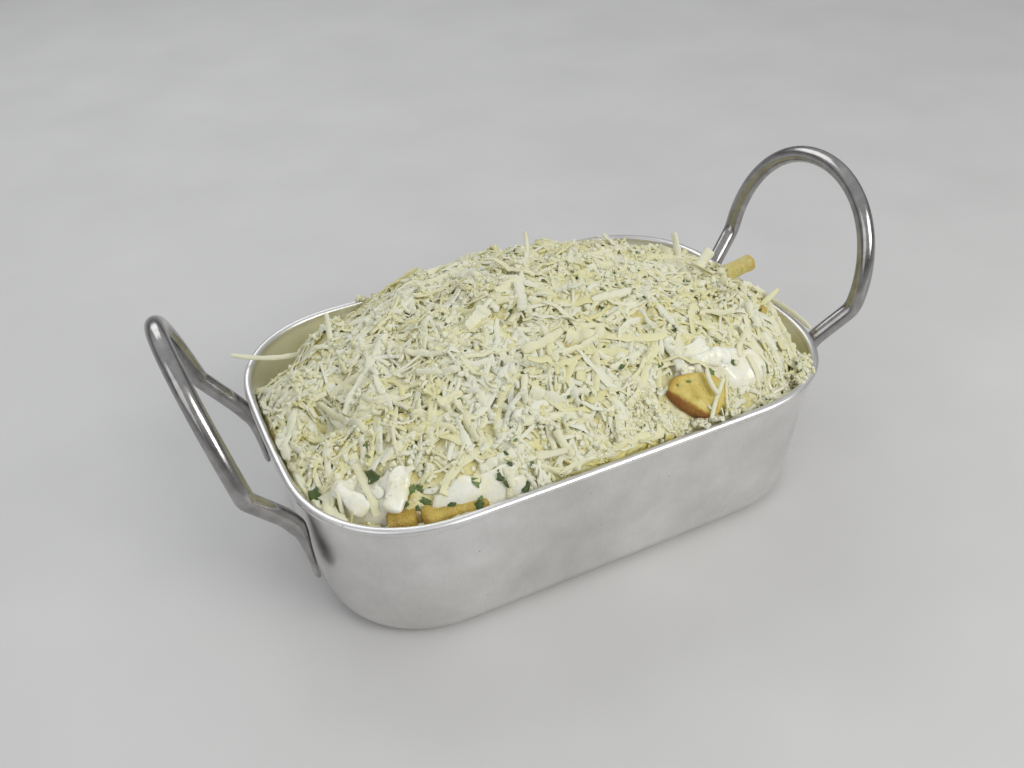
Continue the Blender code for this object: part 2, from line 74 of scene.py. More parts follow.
# The dish
HALF_LENGTH = DISH_HIGH.x
HALF_WIDTH = DISH_HIGH.y
DISH_HEIGHT = DISH_HIGH.z
CORNER_RADIUS = 37.0 * MM
CORNER_POWER = 2.36
END_BOW = 2.6 * MM
SIDE_BOW = 0.5 * MM
BEAD_RADIUS = 1.2 * MM
RIM_INSET = 1.5 * MM
WALL = 0.9 * MM
TAPER = 3.9 * MM
FLOOR_FILLET = 5.3 * MM
WALL_TOP = DISH_HEIGHT - 2 * BEAD_RADIUS
WALL_WAVE = 0.09 * MM
WALL_WAVE_SIZE = 22 * MM

# The handles
ROD_RADIUS = 2.5 * MM
TAB_BOTTOM = 16.5 * MM
TAB_TOP = 33.0 * MM
TAB_HALF_WIDTH = 4.3 * MM
TAB_HALF_DEPTH = 1.0 * MM
TAB_LENGTH = 18.0 * MM
TAB_TIP = 1.2 * MM
WELD_GAP = 0.35 * MM
BEND_RADIUS = 5.0 * MM
HANDLE_BENDS = {
    "handle_right": dict(
        side=1, shift=-2.9 * MM, root_y=26.0 * MM, root_x=1.6 * MM, root_z=38.2 * MM, knee_x=12.0 * MM,
        knee_y=30.0 * MM, knee_z=48.5 * MM, lean=76.2, shoulder=21.0 * MM, splay=3.6, crown=17.3 * MM,
        height=35.2 * MM,
    ),
    "handle_left": dict(
        side=-1, shift=-1.3 * MM, root_y=26.6 * MM, root_x=1.6 * MM, root_z=38.0 * MM, knee_x=10.2 * MM,
        knee_y=28.9 * MM, knee_z=49.4 * MM, lean=77.4, shoulder=5.5 * MM, splay=-9.5, crown=17.0 * MM,
        height=34.6 * MM,
    ),
}

# The heap's surface
FOOD_GAP = 0.35 * MM
EDGE_LEVEL = 42.0 * MM
CROWN_LEVEL = 68.5 * MM
CROWN_X = 14.0 * MM
LEAN_LEFT = 120.0 * MM
LEAN_RIGHT = 150.0 * MM
HEAP_POWER = 3.0
EDGE_MARGIN = 2.8 * MM
# Hollows and lumps of the heap: centre x, y, reach in x, y, and height, in millimetres
HEAP_FORMS = {
    "bare back left corner": (-63, 43, 22, 18, -11),
    "bare back right corner": (58, 44, 24, 18, -8),
    "gap at the right end": (75, -25, 7, 12, -9),
    "deeper gap": (75, -25, 6, 11, -2),
    "cleft in the left mound": (-63, -9, 5, 12, -4),
    "clump at the back left": (-51, 31, 7, 7, 4),
    "shoulder at the right front": (60, -26, 11, 15, 6),
    "left mound": (-66, 8, 9, 16, 2.5),
    "deeper cleft": (-62, -8, 3.2, 9, -2.5),
    "hollow behind the left mound": (-55, 3, 3.5, 10, -2.5),
    "loose cheese at the back left": (-57, 29, 9, 8, 2.5),
}

LUMP_HEIGHT = 1.3 * MM
LUMP_SIZE = 10 * MM

# Depths under the heap's surface
BED_DEPTH = 2.5 * MM
BED_SUNK = 3.2 * MM
SAUCE_DEPTH = 4.6 * MM
FRIES_DEPTH = 6.6 * MM
POOL_DEPTH = 0.9 * MM
BED_LUMP_HEIGHT = 0.9 * MM
BED_LUMP_SIZE = 3.2 * MM
SAUCE_RIPPLE_HEIGHT = 0.9 * MM
SAUCE_RIPPLE_SIZE = 5 * MM

# Where each layer of food ends below, and how many rings of points its surface has
CORE_FLOOR = WALL + FOOD_GAP + 5 * MM
SAUCE_FLOOR = 30 * MM
BED_FLOOR = 31 * MM
CORE_RINGS = 40
SURFACE_RINGS = 150

# Places where the sauce shows: centre x, y, reach x, y, turn in degrees, in millimetres
BARE_PLACES = {
    "front left corner": (-60, -37.5, 9, 4.5, -40),
    "front": (-42, -49.5, 17, 4.2, -8),
    "right": (30, -40, 8, 4.5, 5),
    "right end": (42, -42, 9, 5.0, -10),
}

POOL_EDGE = 1.1
POOL_EDGE_SOFTNESS = 0.2
POOL_EDGE_RIPPLE = 0.35

CELL = 0.4 * MM
SEED = 20
LATTICE = 48
OCTAVE_SHIFT = 7.3
# Reliefs over the plan read the noise at levels of their own, so that none repeats another
HEAP_LEVEL, POOL_EDGE_LEVEL, BED_LEVEL, TONE_LEVEL, SAUCE_LEVEL, CLUMP_LEVEL = 0.0, 0.05, 0.1, 0.2, 0.3, 0.4


def outline_steps(corner_steps, straight_steps):
    """Each point of the outline as signs, place along the straight parts, and turn round the corner."""
    places = np.linspace(0.0, 1.0, straight_steps, endpoint=False)
    turns = np.linspace(0.0, math.pi / 2, corner_steps + 1)
    short = np.stack([np.ones_like(places), places, 0.0 * places], axis=1)
    corner = np.stack([np.ones_like(turns), np.ones_like(turns), turns], axis=1)
    long = np.stack([places[::-1], np.ones_like(places), 0.0 * places + math.pi / 2], axis=1)
    quarter = np.concatenate([short, corner, long])
    parts = []
    for sign_x, sign_y in ((1, 1), (-1, 1), (-1, -1), (1, -1)):
        part = quarter if sign_x * sign_y > 0 else quarter[::-1]
        signs = np.tile((sign_x, sign_y), (len(part) - 1, 1))
        parts.append(np.concatenate([signs, part[:-1]], axis=1))
    return np.concatenate(parts).T


STEPS = outline_steps(corner_steps=36, straight_steps=18)


def outline(offset):
    """Plan of the rim moved outwards by an offset: one number, one for each point, or a column with one for each
    row of points. The corner is the superellipse x = a + r cos(turn)^(2/power), y = b + r sin(turn)^(2/power),
    and the sides bow inwards by a square."""
    sign_x, sign_y, place_x, place_y, turn = STEPS
    half_x = HALF_LENGTH + offset
    half_y = HALF_WIDTH + offset
    radius = CORNER_RADIUS + offset
    x = (half_x - radius) * place_x + radius * np.cos(turn).clip(0) ** (2 / CORNER_POWER)
    y = (half_y - radius) * place_y + radius * np.sin(turn).clip(0) ** (2 / CORNER_POWER)
    bowed_x = x - END_BOW * (y / half_y) ** 2 * x / half_x
    bowed_y = y - SIDE_BOW * (x / half_x) ** 2 * y / half_y
    return np.stack([sign_x * bowed_x, sign_y * bowed_y], axis=-1)


def wall_offset(level):
    """How far the outer wall lies inside the rim's edge at a height."""
    return -RIM_INSET - TAPER * (WALL_TOP - level) / WALL_TOP


NOISE_TABLE = np.random.default_rng(SEED).uniform(-1.0, 1.0, (LATTICE, LATTICE, LATTICE))


def smooth(t):
    """A step from 0 to 1 with level ends, 3t^2 - 2t^3."""
    return t * t * (3 - 2 * t)


def noise(x, y, z, size, octaves=1):
    """Smooth random relief between about -1 and 1: random values on a cubic lattice of that size, blended by
    smooth steps, and each further octave half as large and half as high."""
    total = 0.0
    for octave in range(octaves):
        where = [np.asarray(v, float) * 2**octave / size + OCTAVE_SHIFT * octave for v in (x, y, z)]
        low = [np.floor(v).astype(int) for v in where]
        share = [smooth(v - w) for v, w in zip(where, low)]
        for corner in range(8):
            ends = [(corner >> k) & 1 for k in range(3)]
            weight = 1.0
            for t, end in zip(share, ends):
                weight = weight * (t if end else 1 - t)
            index = tuple((w + end) % LATTICE for w, end in zip(low, ends))
            total = total + weight * NOISE_TABLE[index] / 2**octave
    return total


def heap_height(x, y):
    """Height of the heap: a long mound, fullest right of the middle, that falls to the rim all round, with its
    hollows and forms as smooth bumps exp(-r^2), and small lumps all over."""
    away_x = np.abs(x / (HALF_LENGTH - EDGE_MARGIN))
    away_y = np.abs(y / (HALF_WIDTH - EDGE_MARGIN))
    away = np.clip((away_x**HEAP_POWER + away_y**HEAP_POWER) ** (1 / HEAP_POWER), 0.0, 1.0)
    lean = 1 - ((x - CROWN_X) / np.where(x < CROWN_X, LEAN_LEFT, LEAN_RIGHT)) ** 2
    height = EDGE_LEVEL + (CROWN_LEVEL - EDGE_LEVEL) * lean * (1 - away**1.5) ** 0.5
    for middle_x, middle_y, reach_x, reach_y, rise in HEAP_FORMS.values():
        far = ((x / MM - middle_x) / reach_x) ** 2 + ((y / MM - middle_y) / reach_y) ** 2
        height = height + rise * MM * np.exp(-far)
    return height + LUMP_HEIGHT * noise(x, y, HEAP_LEVEL, LUMP_SIZE, 2)


def heap_normal(x, y):
    """Unit normal of the heap, from the height's slope over two millimetres each way."""
    reach = 2 * MM
    slope_x = (heap_height(x + reach, y) - heap_height(x - reach, y)) / (2 * reach)
    slope_y = (heap_height(x, y + reach) - heap_height(x, y - reach)) / (2 * reach)
    normal = np.stack([-slope_x, -slope_y, np.ones_like(slope_x)], axis=-1)
    return unit(normal)


def unit(vectors):
    return vectors / np.linalg.norm(vectors, axis=-1, keepdims=True).clip(1e-12)


def bare(x, y):
    """Share from 0 to 1 of the sauce that shows at a place: turned ellipses with a soft, rippled edge."""
    total = np.zeros_like(np.asarray(x, float))
    ripple = POOL_EDGE_RIPPLE * noise(x, y, POOL_EDGE_LEVEL, SAUCE_RIPPLE_SIZE, 2)
    for middle_x, middle_y, reach_x, reach_y, turn in BARE_PLACES.values():
        cosine, sine = math.cos(math.radians(turn)), math.sin(math.radians(turn))
        dx, dy = x / MM - middle_x, y / MM - middle_y
        far = np.hypot((dx * cosine + dy * sine) / reach_x, (dy * cosine - dx * sine) / reach_y)
        total = np.maximum(total, np.clip((POOL_EDGE - far + ripple) / POOL_EDGE_SOFTNESS, 0.0, 1.0))
    return smooth(total)


def sauce_height(x, y):
    """The sauce lies deep under the cheese and rises to the heap's surface where it shows."""
    show = bare(x, y)
    ripple = SAUCE_RIPPLE_HEIGHT * noise(x, y, SAUCE_LEVEL, SAUCE_RIPPLE_SIZE, 2)
    return heap_height(x, y) - SAUCE_DEPTH + show * (SAUCE_DEPTH - POOL_DEPTH + ripple)


def bed_height(x, y):
    """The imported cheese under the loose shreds, lumpy, and sunk where the sauce shows."""
    lumps = BED_LUMP_HEIGHT * noise(x, y, BED_LEVEL, BED_LUMP_SIZE, 3)
    return heap_height(x, y) - BED_DEPTH + lumps - BED_SUNK * bare(x, y)


def new_mesh(name, points, quads, triangles=np.zeros((0, 3), int)):
    """A mesh from arrays of points, four-cornered faces and three-cornered faces."""
    mesh = bpy.data.meshes.new(name)
    points = np.asarray(points, np.float32).reshape(-1, 3)
    corners = np.concatenate([quads.ravel(), triangles.ravel()]).astype(np.int32)
    starts = np.concatenate([np.arange(len(quads)) * 4, len(quads) * 4 + np.arange(len(triangles)) * 3])
    mesh.vertices.add(len(points))
    mesh.vertices.foreach_set("co", points.ravel())
    mesh.loops.add(len(corners))
    mesh.loops.foreach_set("vertex_index", corners)
    mesh.polygons.add(len(starts))
    mesh.polygons.foreach_set("loop_start", starts.astype(np.int32))
    mesh.update(calc_edges=True)
    return mesh


def add_piece(name, mesh, material, stands_for=None, attributes=(), sharp_angle=None):
    """Puts a mesh in the scene as a piece of the object, with its material and painted values, and hides the
    imported part that it stands for.
    """
    mesh.materials.append(material)
    for key, values in dict(attributes).items():
        layer = mesh.attributes.new(key, "FLOAT", "POINT")
        layer.data.foreach_set("value", np.asarray(values, np.float32).ravel())
    mesh.shade_smooth()
    if sharp_angle is not None:
        mesh.set_sharp_from_angle(angle=math.radians(sharp_angle))
    piece = bpy.data.objects.new(name, mesh)
    bpy.context.scene.collection.objects.link(piece)
    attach(piece, "root")
    if stands_for:
        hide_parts(stands_for)


def grid_quads(rows, columns):
    """Corner numbers of the faces of a grid whose last column joins its first."""
    row = np.arange(rows - 1)[:, None] * columns
    column = np.arange(columns)
    after = (column + 1) % columns
    corners = [row + column, row + after, row + columns + after, row + columns + column]
    return np.stack(corners, axis=-1).reshape(-1, 4)


def pole_fans(rows, columns):
    """Corner numbers of the faces that close such a grid to two poles, whose points follow the grid's."""
    column = np.arange(columns)
    after = (column + 1) % columns
    last = (rows - 1) * columns
    first_fan = np.stack([after, column, np.full(columns, rows * columns)], axis=1)
    last_fan = np.stack([last + column, last + after, np.full(columns, rows * columns + 1)], axis=1)
    return np.concatenate([first_fan, last_fan])


def closed_rings(name, rings, first_pole, last_pole):
    """A closed body through rings of points, (rows, columns, 3), with a fan of faces to a pole at each end."""
    rows, columns = rings.shape[:2]
    points = np.concatenate([rings.reshape(-1, 3), [first_pole], [last_pole]])
    return new_mesh(name, points, grid_quads(rows, columns), pole_fans(rows, columns))


SPOT_EDGE = 0.06


class Value:
    """A value in a material. Arithmetic on it adds Math nodes."""

    def __init__(self, paint, socket):
        self.paint = paint
        self.socket = socket

    def math(self, operation, first, second=0.0):
        return self.paint.node("Math", {"operation": operation}, {0: first, 1: second})

    def __add__(self, other):
        return self.math("ADD", self, other)

    def __radd__(self, other):
        return self.math("ADD", other, self)

    def __sub__(self, other):
        return self.math("SUBTRACT", self, other)

    def __rsub__(self, other):
        return self.math("SUBTRACT", other, self)

    def __mul__(self, other):
        return self.math("MULTIPLY", self, other)

    def __rmul__(self, other):
        return self.math("MULTIPLY", other, self)

    def clipped(self):
        return self.paint.node("Clamp", {}, {0: self, 1: 0.0, 2: 1.0})


class Paint:
    """One material: its Principled shader, with constants set on it, and the nodes that feed it."""

    def __init__(self, name, **constants):
        self.material = bpy.data.materials.new(name)
        self.material.use_nodes = True
        self.tree = self.material.node_tree
        self.shader = self.tree.nodes["Principled BSDF"]
        for key, value in constants.items():
            self.shader.inputs[key.replace("_", " ")].default_value = value

    def node(self, kind, settings, sockets, output=0):
        """Adds a node: its settings first, then the values or links of its sockets."""
        node = self.tree.nodes.new("ShaderNode" + kind)
        for key, value in settings.items():
            if key == "stops":
                set_stops(node.color_ramp, value)
            else:
                setattr(node, key, value)
        for key, value in sockets.items():
            self.feed(node.inputs[key], value)
        return Value(self, node.outputs[output])

    def feed(self, socket, value):
        if isinstance(value, Value):
            self.tree.links.new(value.socket, socket)
        else:
            socket.default_value = value

    def where(self, scale=(1.0, 1.0, 1.0)):
        """Place on the object in millimetres, stretched by scale."""
        sockets = {"Vector": self.node("TexCoord", {}, {}, "Object"), "Scale": [1000 * share for share in scale]}
        return self.node("Mapping", {"vector_type": "POINT"}, sockets)

    def noise(self, size, detail=2.0, roughness=0.5, stretch=(1.0, 1.0, 1.0)):
        """Noise from 0 to 1 with features of that size in millimetres."""
        sockets = {"Vector": self.where(stretch), "Scale": 1 / size, "Detail": detail, "Roughness": roughness}
        return self.node("TexNoise", {}, sockets, "Fac")

    def spots(self, size, share):
        """Small round spots, 1 inside and 0 outside, one in each cell of that size in millimetres, with a radius
        of that share of the cell."""
        sockets = {"Vector": self.where(), "Scale": 1 / size}
        cells = self.node("TexVoronoi", {"feature": "F1"}, sockets, "Distance")
        return self.step(share - cells, 0.0, SPOT_EDGE)

    def step(self, value, low, high):
        """0 below low, 1 above high, and a smooth rise between."""
        sockets = {"Value": value, "From Min": low, "From Max": high}
        return self.node("MapRange", {"interpolation_type": "SMOOTHSTEP"}, sockets)

    def painted(self, name):
        """A value painted on the piece's points."""
        return self.node("Attribute", {"attribute_name": name}, {}, "Fac")

    def mix(self, share, first, second, blend="MIX"):
        settings = {"data_type": "RGBA", "blend_type": blend}
        return self.node("Mix", settings, {0: share, 6: colour(first), 7: colour(second)}, 2)

    def ramp(self, value, *stops):
        return self.node("ValToRGB", {"stops": stops}, {0: value})

    def bump(self, height, distance):
        """A bump of that many millimetres."""
        return self.node("Bump", {}, {"Height": height, "Distance": distance * MM})

    def finish(self, **links):
        for key, value in links.items():
            self.feed(self.shader.inputs[key.replace("_", " ")], value)
        return self.material


def colour(value):
    return value if isinstance(value, Value) else (*value, 1.0)


def set_stops(ramp, stops):
    while len(ramp.elements) < len(stops):
        ramp.elements.new(0.5)
    for element, (place, value) in zip(ramp.elements, stops):
        element.position = place
        element.color = (*value, 1.0)


def dish_steel():
    """Satin steel with a fine upright grain, mottled, with pits and dried water specks, and its inside painted
    much brighter as painted light.
    """
    paint = Paint("dish steel", Metallic=1.0)
    grain = paint.noise(0.32, 3.0, 0.6, (1.0, 1.0, 0.035))
    mottle = paint.noise(9.0, 4.0, 0.6)
    cloud = paint.noise(34.0, 2.0, 0.5)
    pits = paint.spots(3.4, 0.09) * paint.step(paint.noise(6.0), 0.5, 0.6)
    specks = paint.spots(2.6, 0.13) * paint.step(paint.noise(11.0, 3.0), 0.54, 0.62)
    shade = 0.55 * cloud + 0.3 * mottle + 0.15 * grain
    base = paint.ramp(
        shade, (0.3, (0.60, 0.585, 0.57)), (0.52, (0.76, 0.75, 0.735)), (0.7, (0.90, 0.895, 0.89)),
    )
    # Painted light: the inside of the dish is painted near white, brighter than the outside's steel.
    base = paint.mix(paint.painted("inside") * 0.95, base, (0.97, 0.965, 0.95))
    base = paint.mix(specks * 0.5, base, (0.78, 0.78, 0.78))
    base = paint.mix(pits * 0.7, base, (0.16, 0.14, 0.12))
    rough = 0.27 + 0.1 * mottle + 0.08 * grain + 0.18 * specks
    height = grain * 0.5 + mottle * 0.6 - pits * 1.2 + specks * 0.4
    return paint.finish(Base_Color=base, Roughness=rough, Normal=paint.bump(height, 0.012))


def handle_steel():
    """Polished rod with fine drawing lines and a little wear; its colour is kept dark as a painted reflection of a
    dark room.
    """
    paint = Paint("polished rod steel", Metallic=1.0)
    wear = paint.noise(5.0, 4.0, 0.6)
    lines = paint.noise(0.25, 2.0, 0.6, (1.0, 1.0, 0.2))
    # Painted reflection: the rod's colour is kept dark, as if it reflected a dark room.
    base = paint.ramp(wear, (0.3, (0.29, 0.28, 0.27)), (0.7, (0.46, 0.45, 0.44)))
    rough = 0.1 + 0.1 * wear + 0.05 * lines
    return paint.finish(Base_Color=base, Roughness=rough, Normal=paint.bump(lines + wear, 0.006))


def shred_cheese():
    """Ivory shreds. The tone runs from chalk white to green-yellow, and what lies deep in the heap is painted
    darker and yellower, as painted shade."""
    paint = Paint("shredded cheese")
    tone = paint.painted("tone")
    depth = paint.painted("depth")
    patch = paint.noise(1.3, 3.0, 0.6)
    grain = paint.noise(0.35, 2.0, 0.6)
    shade = (tone * 0.75 + patch * 0.4 - 0.08).clipped()
    base = paint.ramp(
        shade, (0.0, (0.80, 0.805, 0.69)), (0.35, (0.79, 0.785, 0.60)), (0.62, (0.77, 0.745, 0.46)),
        (1.0, (0.73, 0.67, 0.29)),
    )
    # Painted shade: the deeper a point lies in the pile, the darker and yellower it is painted.
    base = paint.mix(paint.step(depth, 0.05, 0.6), base, (0.95, 0.88, 0.45), "MULTIPLY")
    rough = 0.38 + 0.25 * grain
    return paint.finish(Base_Color=base, Roughness=rough, Normal=paint.bump(grain + patch, 0.08))


def bed_cheese():
    """Packed cheese between the shreds: the cheese's own colour made darker and more olive-yellow as painted shade
    of the hollows, with a few gold-brown spots.
    """
    paint = Paint("packed cheese")
    patch = paint.noise(4.0, 4.0, 0.6)
    grain = paint.noise(0.8, 3.0, 0.6)
    # Painted shade: the hollows between the shreds are coloured darker and more olive-yellow than the shreds.
    base = paint.ramp(
        patch, (0.28, (0.55, 0.42, 0.14)), (0.42, (0.72, 0.65, 0.29)), (0.56, (0.78, 0.74, 0.43)),
        (0.72, (0.80, 0.78, 0.58)),
    )
    return paint.finish(Base_Color=base, Roughness=0.4 + 0.2 * grain, Normal=paint.bump(grain, 0.25))


def white_sauce():
    """Wet cream sauce, smooth and glossy, with a warmer tint in its hollows."""
    paint = Paint("white sauce", Subsurface_Weight=0.4, Subsurface_Scale=1.2 * MM, Coat_Roughness=0.12)
    paint.shader.inputs["Subsurface Radius"].default_value = (1.0, 0.9, 0.55)
    cloud = paint.noise(5.0, 3.0, 0.55)
    fine = paint.noise(1.1, 3.0, 0.5)
    base = paint.ramp(cloud, (0.3, (0.80, 0.77, 0.52)), (0.48, (0.86, 0.85, 0.70)), (0.7, (0.90, 0.90, 0.82)))
    normal = paint.bump(cloud + 0.4 * fine, 0.25)
    rough = 0.22 + 0.15 * fine
    return paint.finish(Base_Color=base, Roughness=rough, Coat_Weight=0.2 + 0.3 * cloud, Normal=normal)


def fried_crust():
    """Golden crust: mottled from pale straw to brown, blistered, and grainy."""
    paint = Paint("fried crust", Subsurface_Weight=0.15, Subsurface_Scale=1.2 * MM)
    paint.shader.inputs["Subsurface Radius"].default_value = (1.0, 0.85, 0.35)
    browning = paint.painted("browning")
    patch = paint.noise(2.6, 4.0, 0.6)
    grain = paint.noise(0.55, 3.0, 0.65)
    shade = (patch * 0.5 + grain * 0.45 + browning * 0.5 - 0.13).clipped()
    base = paint.ramp(
        shade, (0.2, (0.70, 0.61, 0.24)), (0.38, (0.62, 0.47, 0.10)), (0.58, (0.49, 0.335, 0.06)),
        (0.85, (0.25, 0.12, 0.02)),
    )
    granules = paint.spots(0.8, 0.34) * paint.step(paint.noise(2.0, 2.0), 0.42, 0.6)
    base = paint.mix(granules * 0.5, base, (0.78, 0.66, 0.36))
    normal = paint.bump(grain + 0.6 * patch + 0.5 * granules, 0.4)
    return paint.finish(Base_Color=base, Roughness=0.34 + 0.3 * grain, Normal=normal)


def potato_flesh():
    """The wedge: waxy yellow-ochre flesh that browns towards its edges."""
    paint = Paint("potato flesh", Subsurface_Weight=0.3, Subsurface_Scale=2.0 * MM)
    browning = paint.painted("browning")
    patch = paint.noise(3.6, 4.0, 0.6)
    grain = paint.noise(0.7, 3.0, 0.6)
    shade = (browning * 0.8 + patch * 0.62 + grain * 0.14 - 0.22).clipped()
    base = paint.ramp(
        shade, (0.0, (0.72, 0.62, 0.20)), (0.22, (0.58, 0.45, 0.08)), (0.5, (0.42, 0.25, 0.03)),
        (0.8, (0.24, 0.09, 0.01)),
    )
    normal = paint.bump(grain + patch, 0.2)
    return paint.finish(Base_Color=base, Roughness=0.25 + 0.25 * grain, Normal=normal)


def parsley_green():
    """Chopped parsley: dark green leaf with a paler vein side."""
    paint = Paint("parsley", Subsurface_Weight=0.1, Subsurface_Scale=0.5 * MM)
    tone = paint.painted("tone")
    grain = paint.noise(0.5, 3.0, 0.6)
    shade = (tone * 0.6 + grain * 0.4).clipped()
    base = paint.ramp(
        shade, (0.15, (0.04, 0.07, 0.012)), (0.5, (0.085, 0.145, 0.03)), (0.9, (0.22, 0.31, 0.09)),
    )
    return paint.finish(Base_Color=base, Roughness=0.4 + 0.2 * grain, Normal=paint.bump(grain, 0.08))


def floor_paint():
    """Plain pale floor, faintly uneven so that it isn't dead flat."""
    paint = Paint("pale floor", Roughness=0.5)
    cloud = paint.noise(60.0, 3.0, 0.5)
    base = paint.ramp(cloud, (0.3, (0.60, 0.595, 0.585)), (0.7, (0.64, 0.635, 0.625)))
    return paint.finish(Base_Color=base, Roughness=0.45 + 0.1 * cloud)


def arc(centre_offset, centre_level, radius, start, end, count):
    """Offsets and levels along an arc of the wall's section, angles in degrees from outwards to up."""
    angle = np.radians(np.linspace(start, end, count))
    return np.stack([centre_offset + radius * np.cos(angle), centre_level + radius * np.sin(angle)], axis=1)


def build_dish(material):
    """The wall's section, carried round the outline: foot fillet, wall, rolled bead, and down the inside."""
    foot = wall_offset(FLOOR_FILLET)
    levels = np.linspace(FLOOR_FILLET, WALL_TOP, 26)[1:]
    inner_levels = np.linspace(WALL_TOP + BEAD_RADIUS, FLOOR_FILLET, 22)[1:-1]
    inner_fillet = FLOOR_FILLET - WALL
    fillet_points = 10
    section = np.concatenate([
        arc(foot - FLOOR_FILLET, FLOOR_FILLET, FLOOR_FILLET, -90, 0, 12),
        np.stack([wall_offset(levels), levels], axis=1),
        arc(-BEAD_RADIUS, DISH_HEIGHT - BEAD_RADIUS, BEAD_RADIUS, -100, 180, 26),
        np.stack([wall_offset(inner_levels) - WALL, inner_levels], axis=1),
        arc(foot - WALL - inner_fillet, FLOOR_FILLET, inner_fillet, 0, -90, fillet_points),
    ])
    plan = outline(section[:, :1])
    level = np.repeat(section[:, 1][:, None], plan.shape[1], axis=1)
    rings = np.concatenate([plan, level[..., None]], axis=-1)
    steady = np.clip(level / FLOOR_FILLET - 0.5, 0, 1) * np.clip((WALL_TOP - level) / (6 * MM), 0, 1)
    outwards = unit(np.concatenate([plan, 0 * level[..., None]], axis=-1))
    wave = noise(rings[..., 0], rings[..., 1], rings[..., 2], WALL_WAVE_SIZE, 2)
    rings = rings + outwards * (WALL_WAVE * steady * wave)[..., None]
    shares = np.array([0.35, 0.75])
    under = np.stack([ring_share(rings[0], share) for share in shares])
    floor = np.stack([ring_share(rings[-1], share) for share in shares[::-1]])
    rings = np.concatenate([under, rings, floor])
    mesh = closed_rings("serving_dish", rings, (0, 0, 0), (0, 0, rings[-1, 0, 2]))
    # The inside rows are marked for the painted light that brightens the dish's inside.
    inner_rows = len(inner_levels) + fillet_points + len(shares)
    inside = np.repeat(np.arange(len(rings)) >= len(rings) - inner_rows, rings.shape[1])
    inside = np.concatenate([inside, [False, True]])
    add_piece("serving_dish", mesh, material, "dish", {"inside": inside}, 60)


def ring_share(ring, share):
    """A ring drawn in towards the middle of the dish."""
    return ring * (share, share, 1.0)


def rounded_path(points, radius, steps=9):
    """A polyline whose corners are rounded by short quadratic curves (1-t)^2 a + 2t(1-t) b + t^2 c."""
    path = [points[:1]]
    for before, corner, after in zip(points, points[1:], points[2:]):
        back, ahead = before - corner, after - corner
        reach = min(radius, np.linalg.norm(back) / 2, np.linalg.norm(ahead) / 2)
        start, end = corner + unit(back) * reach, corner + unit(ahead) * reach
        t = np.linspace(0.0, 1.0, steps)[:, None]
        path.append(start * (1 - t) ** 2 + corner * 2 * t * (1 - t) + end * t**2)
    return np.concatenate([*path, points[-1:]])


def handle_path(bend):
    """The rod's centre line: up the wall, out under the rim, and over in one leaning loop, which is a cubic
    curve."""
    lean, splay = math.radians(bend["lean"]), math.tan(math.radians(bend["splay"]))
    tab_x = HALF_LENGTH + WELD_GAP + TAB_HALF_DEPTH
    t = np.linspace(0.0, 1.0, 48)[:, None]
    cage = np.array([
        (bend["knee_y"], 0.0), (bend["knee_y"] + bend["shoulder"] * splay, bend["shoulder"]),
        (bend["crown"], bend["height"]), (0.0, bend["height"]),
    ])
    weights = ((1 - t) ** 3, 3 * t * (1 - t) ** 2, 3 * t**2 * (1 - t), t**3)
    y, rise = sum(weight * corner for weight, corner in zip(weights, cage)).T
    knee_x = HALF_LENGTH + bend["knee_x"]
    loop = np.stack([knee_x + rise * math.cos(lean), y, bend["knee_z"] + rise * math.sin(lean)], axis=1)
    leg = np.array([
        (tab_x + wall_offset(TAB_BOTTOM), bend["root_y"], TAB_BOTTOM),
        (tab_x + wall_offset(TAB_TOP), bend["root_y"], TAB_TOP),
        (HALF_LENGTH + bend["root_x"], bend["root_y"], bend["root_z"]), loop[0],
    ])
    half = np.concatenate([rounded_path(np.concatenate([leg, loop[4:5]]), BEND_RADIUS)[:-1], loop[4:]])
    return np.concatenate([half, half[-2::-1] * (1, -1, 1)])


def even_path(path, count):
    """The same path with evenly spaced points."""
    far = np.concatenate([[0.0], np.cumsum(np.linalg.norm(np.diff(path, axis=0), axis=1))])
    even = np.linspace(0.0, far[-1], count)
    return np.stack([np.interp(even, far, path[:, k]) for k in range(3)], axis=1), even


def swept(path, depth_to, half_widths, half_depths, section):
    """Rings of a section carried along a path: centre + u width + v depth, where depth leans towards depth_to
    and width is square to it and to the path."""
    along = unit(np.gradient(path, axis=0))
    depth_to = np.broadcast_to(depth_to, along.shape)
    depth = unit(depth_to - along * (along * depth_to).sum(axis=-1, keepdims=True))
    width = np.cross(depth, along)
    u, v = section.T[:, None, :, None]
    reach = width[:, None] * u * half_widths[:, None, None]
    return path[:, None] + reach + depth[:, None] * v * half_depths[:, None, None]


def round_section(count, power=2.0):
    """Points round the superellipse |u|^power + |v|^power = 1."""
    angle = np.linspace(0.0, 2 * math.pi, count, endpoint=False)
    cosine, sine = np.cos(angle), np.sin(angle)
    bend = 2 / power
    return np.stack([np.sign(cosine) * abs(cosine) ** bend, np.sign(sine) * abs(sine) ** bend], axis=1)


def build_handle(name, bend, material):
    """A round rod whose ends flatten into leaf-shaped tabs with a round tip against the wall."""
    path, far = even_path(handle_path(bend), 230)
    from_end = np.minimum(far, far[-1] - far)
    flat = np.clip(from_end / TAB_LENGTH, 0.0, 1.0)
    leaf = 0.55 + 0.45 * np.sin(math.pi * np.clip(flat * 1.05 + 0.12, 0.0, 1.0))
    blend = flat**3
    half_widths = TAB_HALF_WIDTH * leaf * (1 - blend) + ROD_RADIUS * blend
    half_depths = TAB_HALF_DEPTH * (1 - blend) + ROD_RADIUS * blend
    tip = np.clip(from_end / TAB_TIP, 0.0, 1.0)
    rounded = np.sqrt(1 - (1 - tip) ** 2) * 0.75 + 0.25
    lean = math.radians(bend["lean"])
    out = np.array([math.sin(lean), 0.0, -math.cos(lean)]) * (bend["side"], 1, 1)
    placed = path * (bend["side"], 1, 1) + (0, bend["shift"], 0)
    rings = swept(placed, out, half_widths * rounded, half_depths * (0.5 + 0.5 * rounded), round_section(28))
    mesh = closed_rings(name, rings, placed[0], placed[-1])
    add_piece("rod_" + name, mesh, material, name)


